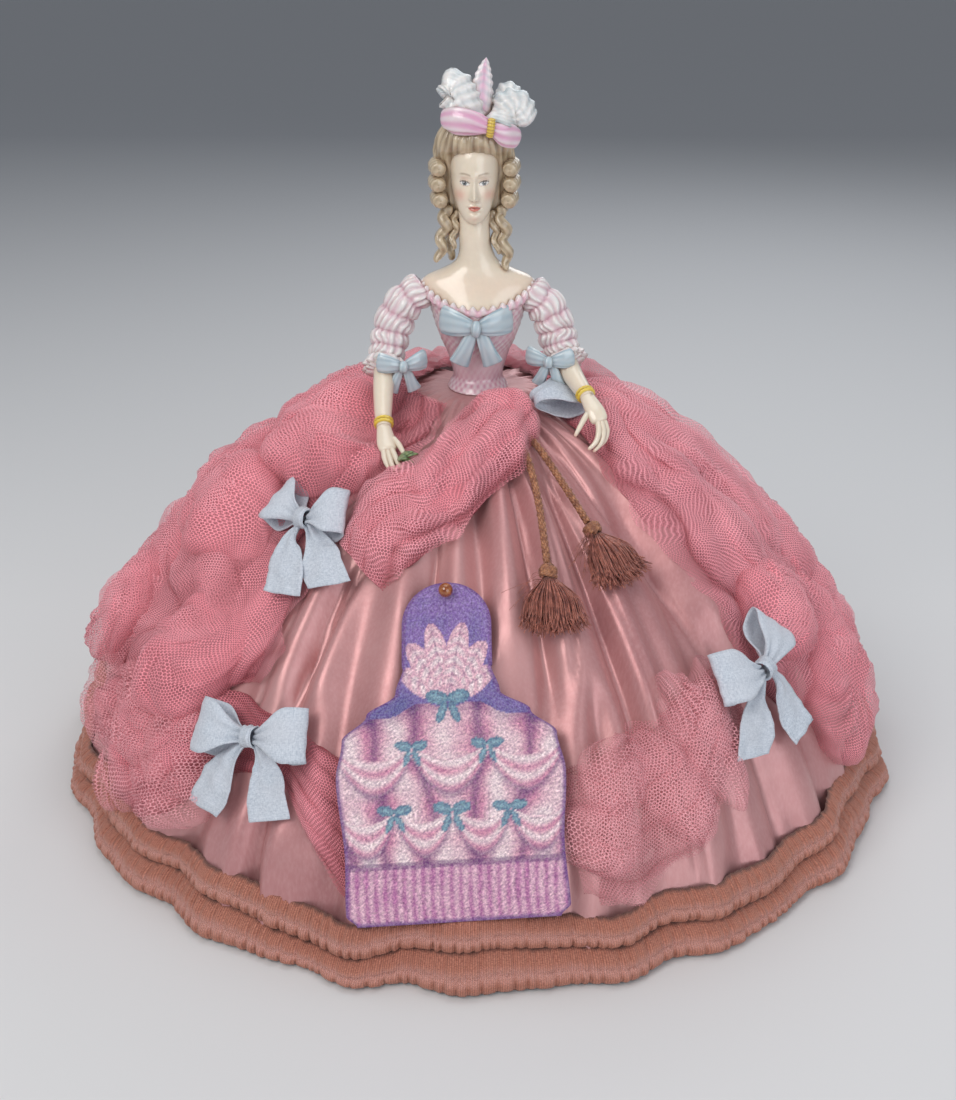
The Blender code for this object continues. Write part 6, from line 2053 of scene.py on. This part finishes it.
# A made-up print: a spray of plumes over swags of cloth, with bows between.
def cardColour(x, y):
    blotch = noise.noise(Vector((x / 7, y / 7, 5.0)))
    fine = noise.noise(Vector((x * 1.25, y * 1.25, 9.0)))
    shade = blend(dusk, violet, (y - 74) / 60 + 0.55 * blotch + 0.2)
    for lean, reach in ((-58, 11), (58, 11), (-34, 14), (34, 14), (-12, 16), (12, 16)):
        turn = math.radians(lean)
        middle = (math.sin(turn) * reach, 84 + math.cos(turn) * reach)
        inside, length, over = ovalAt(x, y, middle, lean, (reach * 0.92, 4.6))
        if inside > 0:
            barb = 0.5 + 0.5 * math.cos(1.5 * length + abs(over))
            shade = blend(petal, cream, 0.35 + 0.9 * inside * barb)
            shade = blend(shade, plum, 0.4 * math.exp(-((over / 0.5) ** 2)))
    top = 82 - 0.006 * x * x - 1.5 * math.cos(x / 3.5)
    if y < top:
        folds = math.cos(x / (2.2 + y / 60) + 2.0 * noise.noise(Vector((x / 20, y / 18, 2.0))))
        shade = blend(petal, cream, 0.42 + 0.40 * folds + 0.5 * blotch)
        shade = blend(shade, plum, 0.65 * max(0.0, -folds) ** 3 + 0.4 * ease((top - y) / -6 + 1))
    for line, step, start, sag, deep in ((66, 29, -43.5, 10, 8), (42, 22, -44, 9, 8)):
        t = ((x - start) % step) / step
        arch = 4 * t * (1 - t)
        upper = line - sag * 0.45 * arch
        lower = line - sag * arch - deep * (0.45 + 0.55 * arch)
        if lower < y < upper:
            inside = (y - lower) / (upper - lower)
            rib = math.cos(inside * 13 + 1.5 * arch)
            shade = blend(petal, cream, 0.55 + 0.45 * rib + 0.3 * blotch)
            shade = blend(shade, plum, 0.6 * (1 - ease(inside * 5)))
        elif lower - 3 < y <= lower:
            shade = blend(shade, plum, 0.55 * (1 - (lower - y) / 3))
    if y < 22:
        pleat = math.cos(x * 1.75 + 0.6 * math.sin(y / 5))
        shade = blend((0.50, 0.16, 0.34), (0.82, 0.50, 0.58), 0.5 + 0.5 * pleat + 0.5 * blotch)
    if abs(y - 22) < 1.2:
        shade = blend(shade, plum, 0.6)
    for middle, size in printedBows:
        shade = paintBow(shade, x, y, middle, size)
    high = cardSettings["high"]
    edge = min(cardHalf(y / high) - abs(x), y, high - y)
    shade = blend(shade, (0.14, 0.05, 0.22), 0.85 * (1 - ease((edge + 0.8 * blotch - 0.6) / 1.6)))
    return tuple(max(0.0, c * (1 + 0.75 * fine)) for c in shade)


def cardMaterial():
    material, tree, shader = startMaterial("printedCard", (0.6, 0.4, 0.5), 0.85)
    paint = painted(tree)
    spray = remap(tree, noiseOf(tree, placed(tree), 1300.0, 2.0, 0.8), 0.40, 0.62)
    dots = mixColour(tree, 0.42, paint, (0.12, 0.03, 0.18))
    paper = mixColour(tree, 0.12, paint, (1.0, 0.90, 0.90))
    feed(tree, mixColour(tree, spray, dots, paper), shader)
    bumped(tree, shader, spray, 0.25, 0.0004)
    return material


def makeCard():
    patch = Patch(cardSettings["place"], cardSettings["tilt"])
    rows, paint = [], []
    count, across = cardSettings["rows"], cardSettings["across"]
    high = cardSettings["high"]

    def middleAt(share):
        return patch.point(0, (share - 0.5) * high * mm, cardSettings["thick"] / 2 * mm)

    for i in range(count + 1):
        share = i / count
        half = max(cardHalf(share), 0.6)
        up = (middleAt(share + 0.02) - middleAt(share - 0.02)).normalized()
        middle = middleAt(share)
        out = domeNormal(math.atan2(middle.x, -middle.y), middle.z)
        side = up.cross(out).normalized()
        row, shades = [], []
        for j in range(across + 1):
            x = half * (2 * j / across - 1)
            row.append(middle + side * x * mm)
            shades.append(cardColour(x, share * high))
        rows.append(row)
        paint.append(shades)
    piece = gridPiece("printedCardFace", rows, cardMaterial(), None, False, paint)
    thicken(piece, cardSettings["thick"] * mm)
    low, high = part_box("picture_card")
    spots = [vertex.co.copy() for vertex in piece.data.vertices]
    shift = (Vector(low) + Vector(high)) / 2 - centreOf(spots)
    piece.data.transform(Matrix.Translation(shift))
    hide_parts("picture_card")


beadSettings = {"rings": 24, "sides": 48, "radius": 2.9 * mm}


def makeBead():
    low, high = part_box("pin_head")
    centre = (Vector(low) + Vector(high)) / 2
    rows = []
    for i in range(beadSettings["rings"] + 1):
        rise = math.pi * i / beadSettings["rings"]
        reach = beadSettings["radius"] * (1 - 0.10 * math.exp(-(((rise - math.pi) / 0.35) ** 2)))
        ring = []
        across = math.sin(max(0.04, min(math.pi - 0.04, rise)))
        for k in range(beadSettings["sides"]):
            turn = 2 * math.pi * k / beadSettings["sides"]
            way = Vector((math.cos(turn) * across, math.sin(turn) * across, math.cos(rise)))
            ring.append(centre + way * reach)
        rows.append(ring)
    glass, tree, shader = startMaterial("amberGlass", (0.46, 0.11, 0.012), 0.06, {
        "Transmission Weight": 0.45, "Coat Weight": 1.0,
    })
    swirl = remap(tree, noiseOf(tree, placed(tree), 500.0, 2.0), 0.35, 0.65)
    feed(tree, mixColour(tree, swirl, (0.30, 0.05, 0.006), (0.62, 0.20, 0.03)), shader)
    bead = gridPiece("amberBead", rows, glass, None, True, None, True)
    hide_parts("pin_head")


def plainMaterials():
    steel, tree, shader = startMaterial("pinSteel", (0.55, 0.55, 0.56), 0.28, {"Metallic": 1.0})
    scratches = noiseOf(tree, stretched(tree, placed(tree), (900, 900, 60)), 3.0)
    feed(tree, remap(tree, scratches, 0.3, 0.7, 0.2, 0.36), shader, "Roughness")
    board, tree, shader = startMaterial("boardPaper", (0.30, 0.22, 0.15), 0.9)
    fibre = remap(tree, noiseOf(tree, placed(tree), 220.0, 5.0, 0.7), 0.3, 0.7)
    feed(tree, mixColour(tree, fibre, (0.25, 0.18, 0.12), (0.36, 0.27, 0.19)), shader)
    bumped(tree, shader, fibre, 0.3, 0.0004)
    for node, material in (("pin_shaft", steel), ("base_board", board)):
        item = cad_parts[node]
        for slot in item.material_slots:
            slot.material = material


makeCard()
makeBead()
plainMaterials()
print("stage: card and pin")
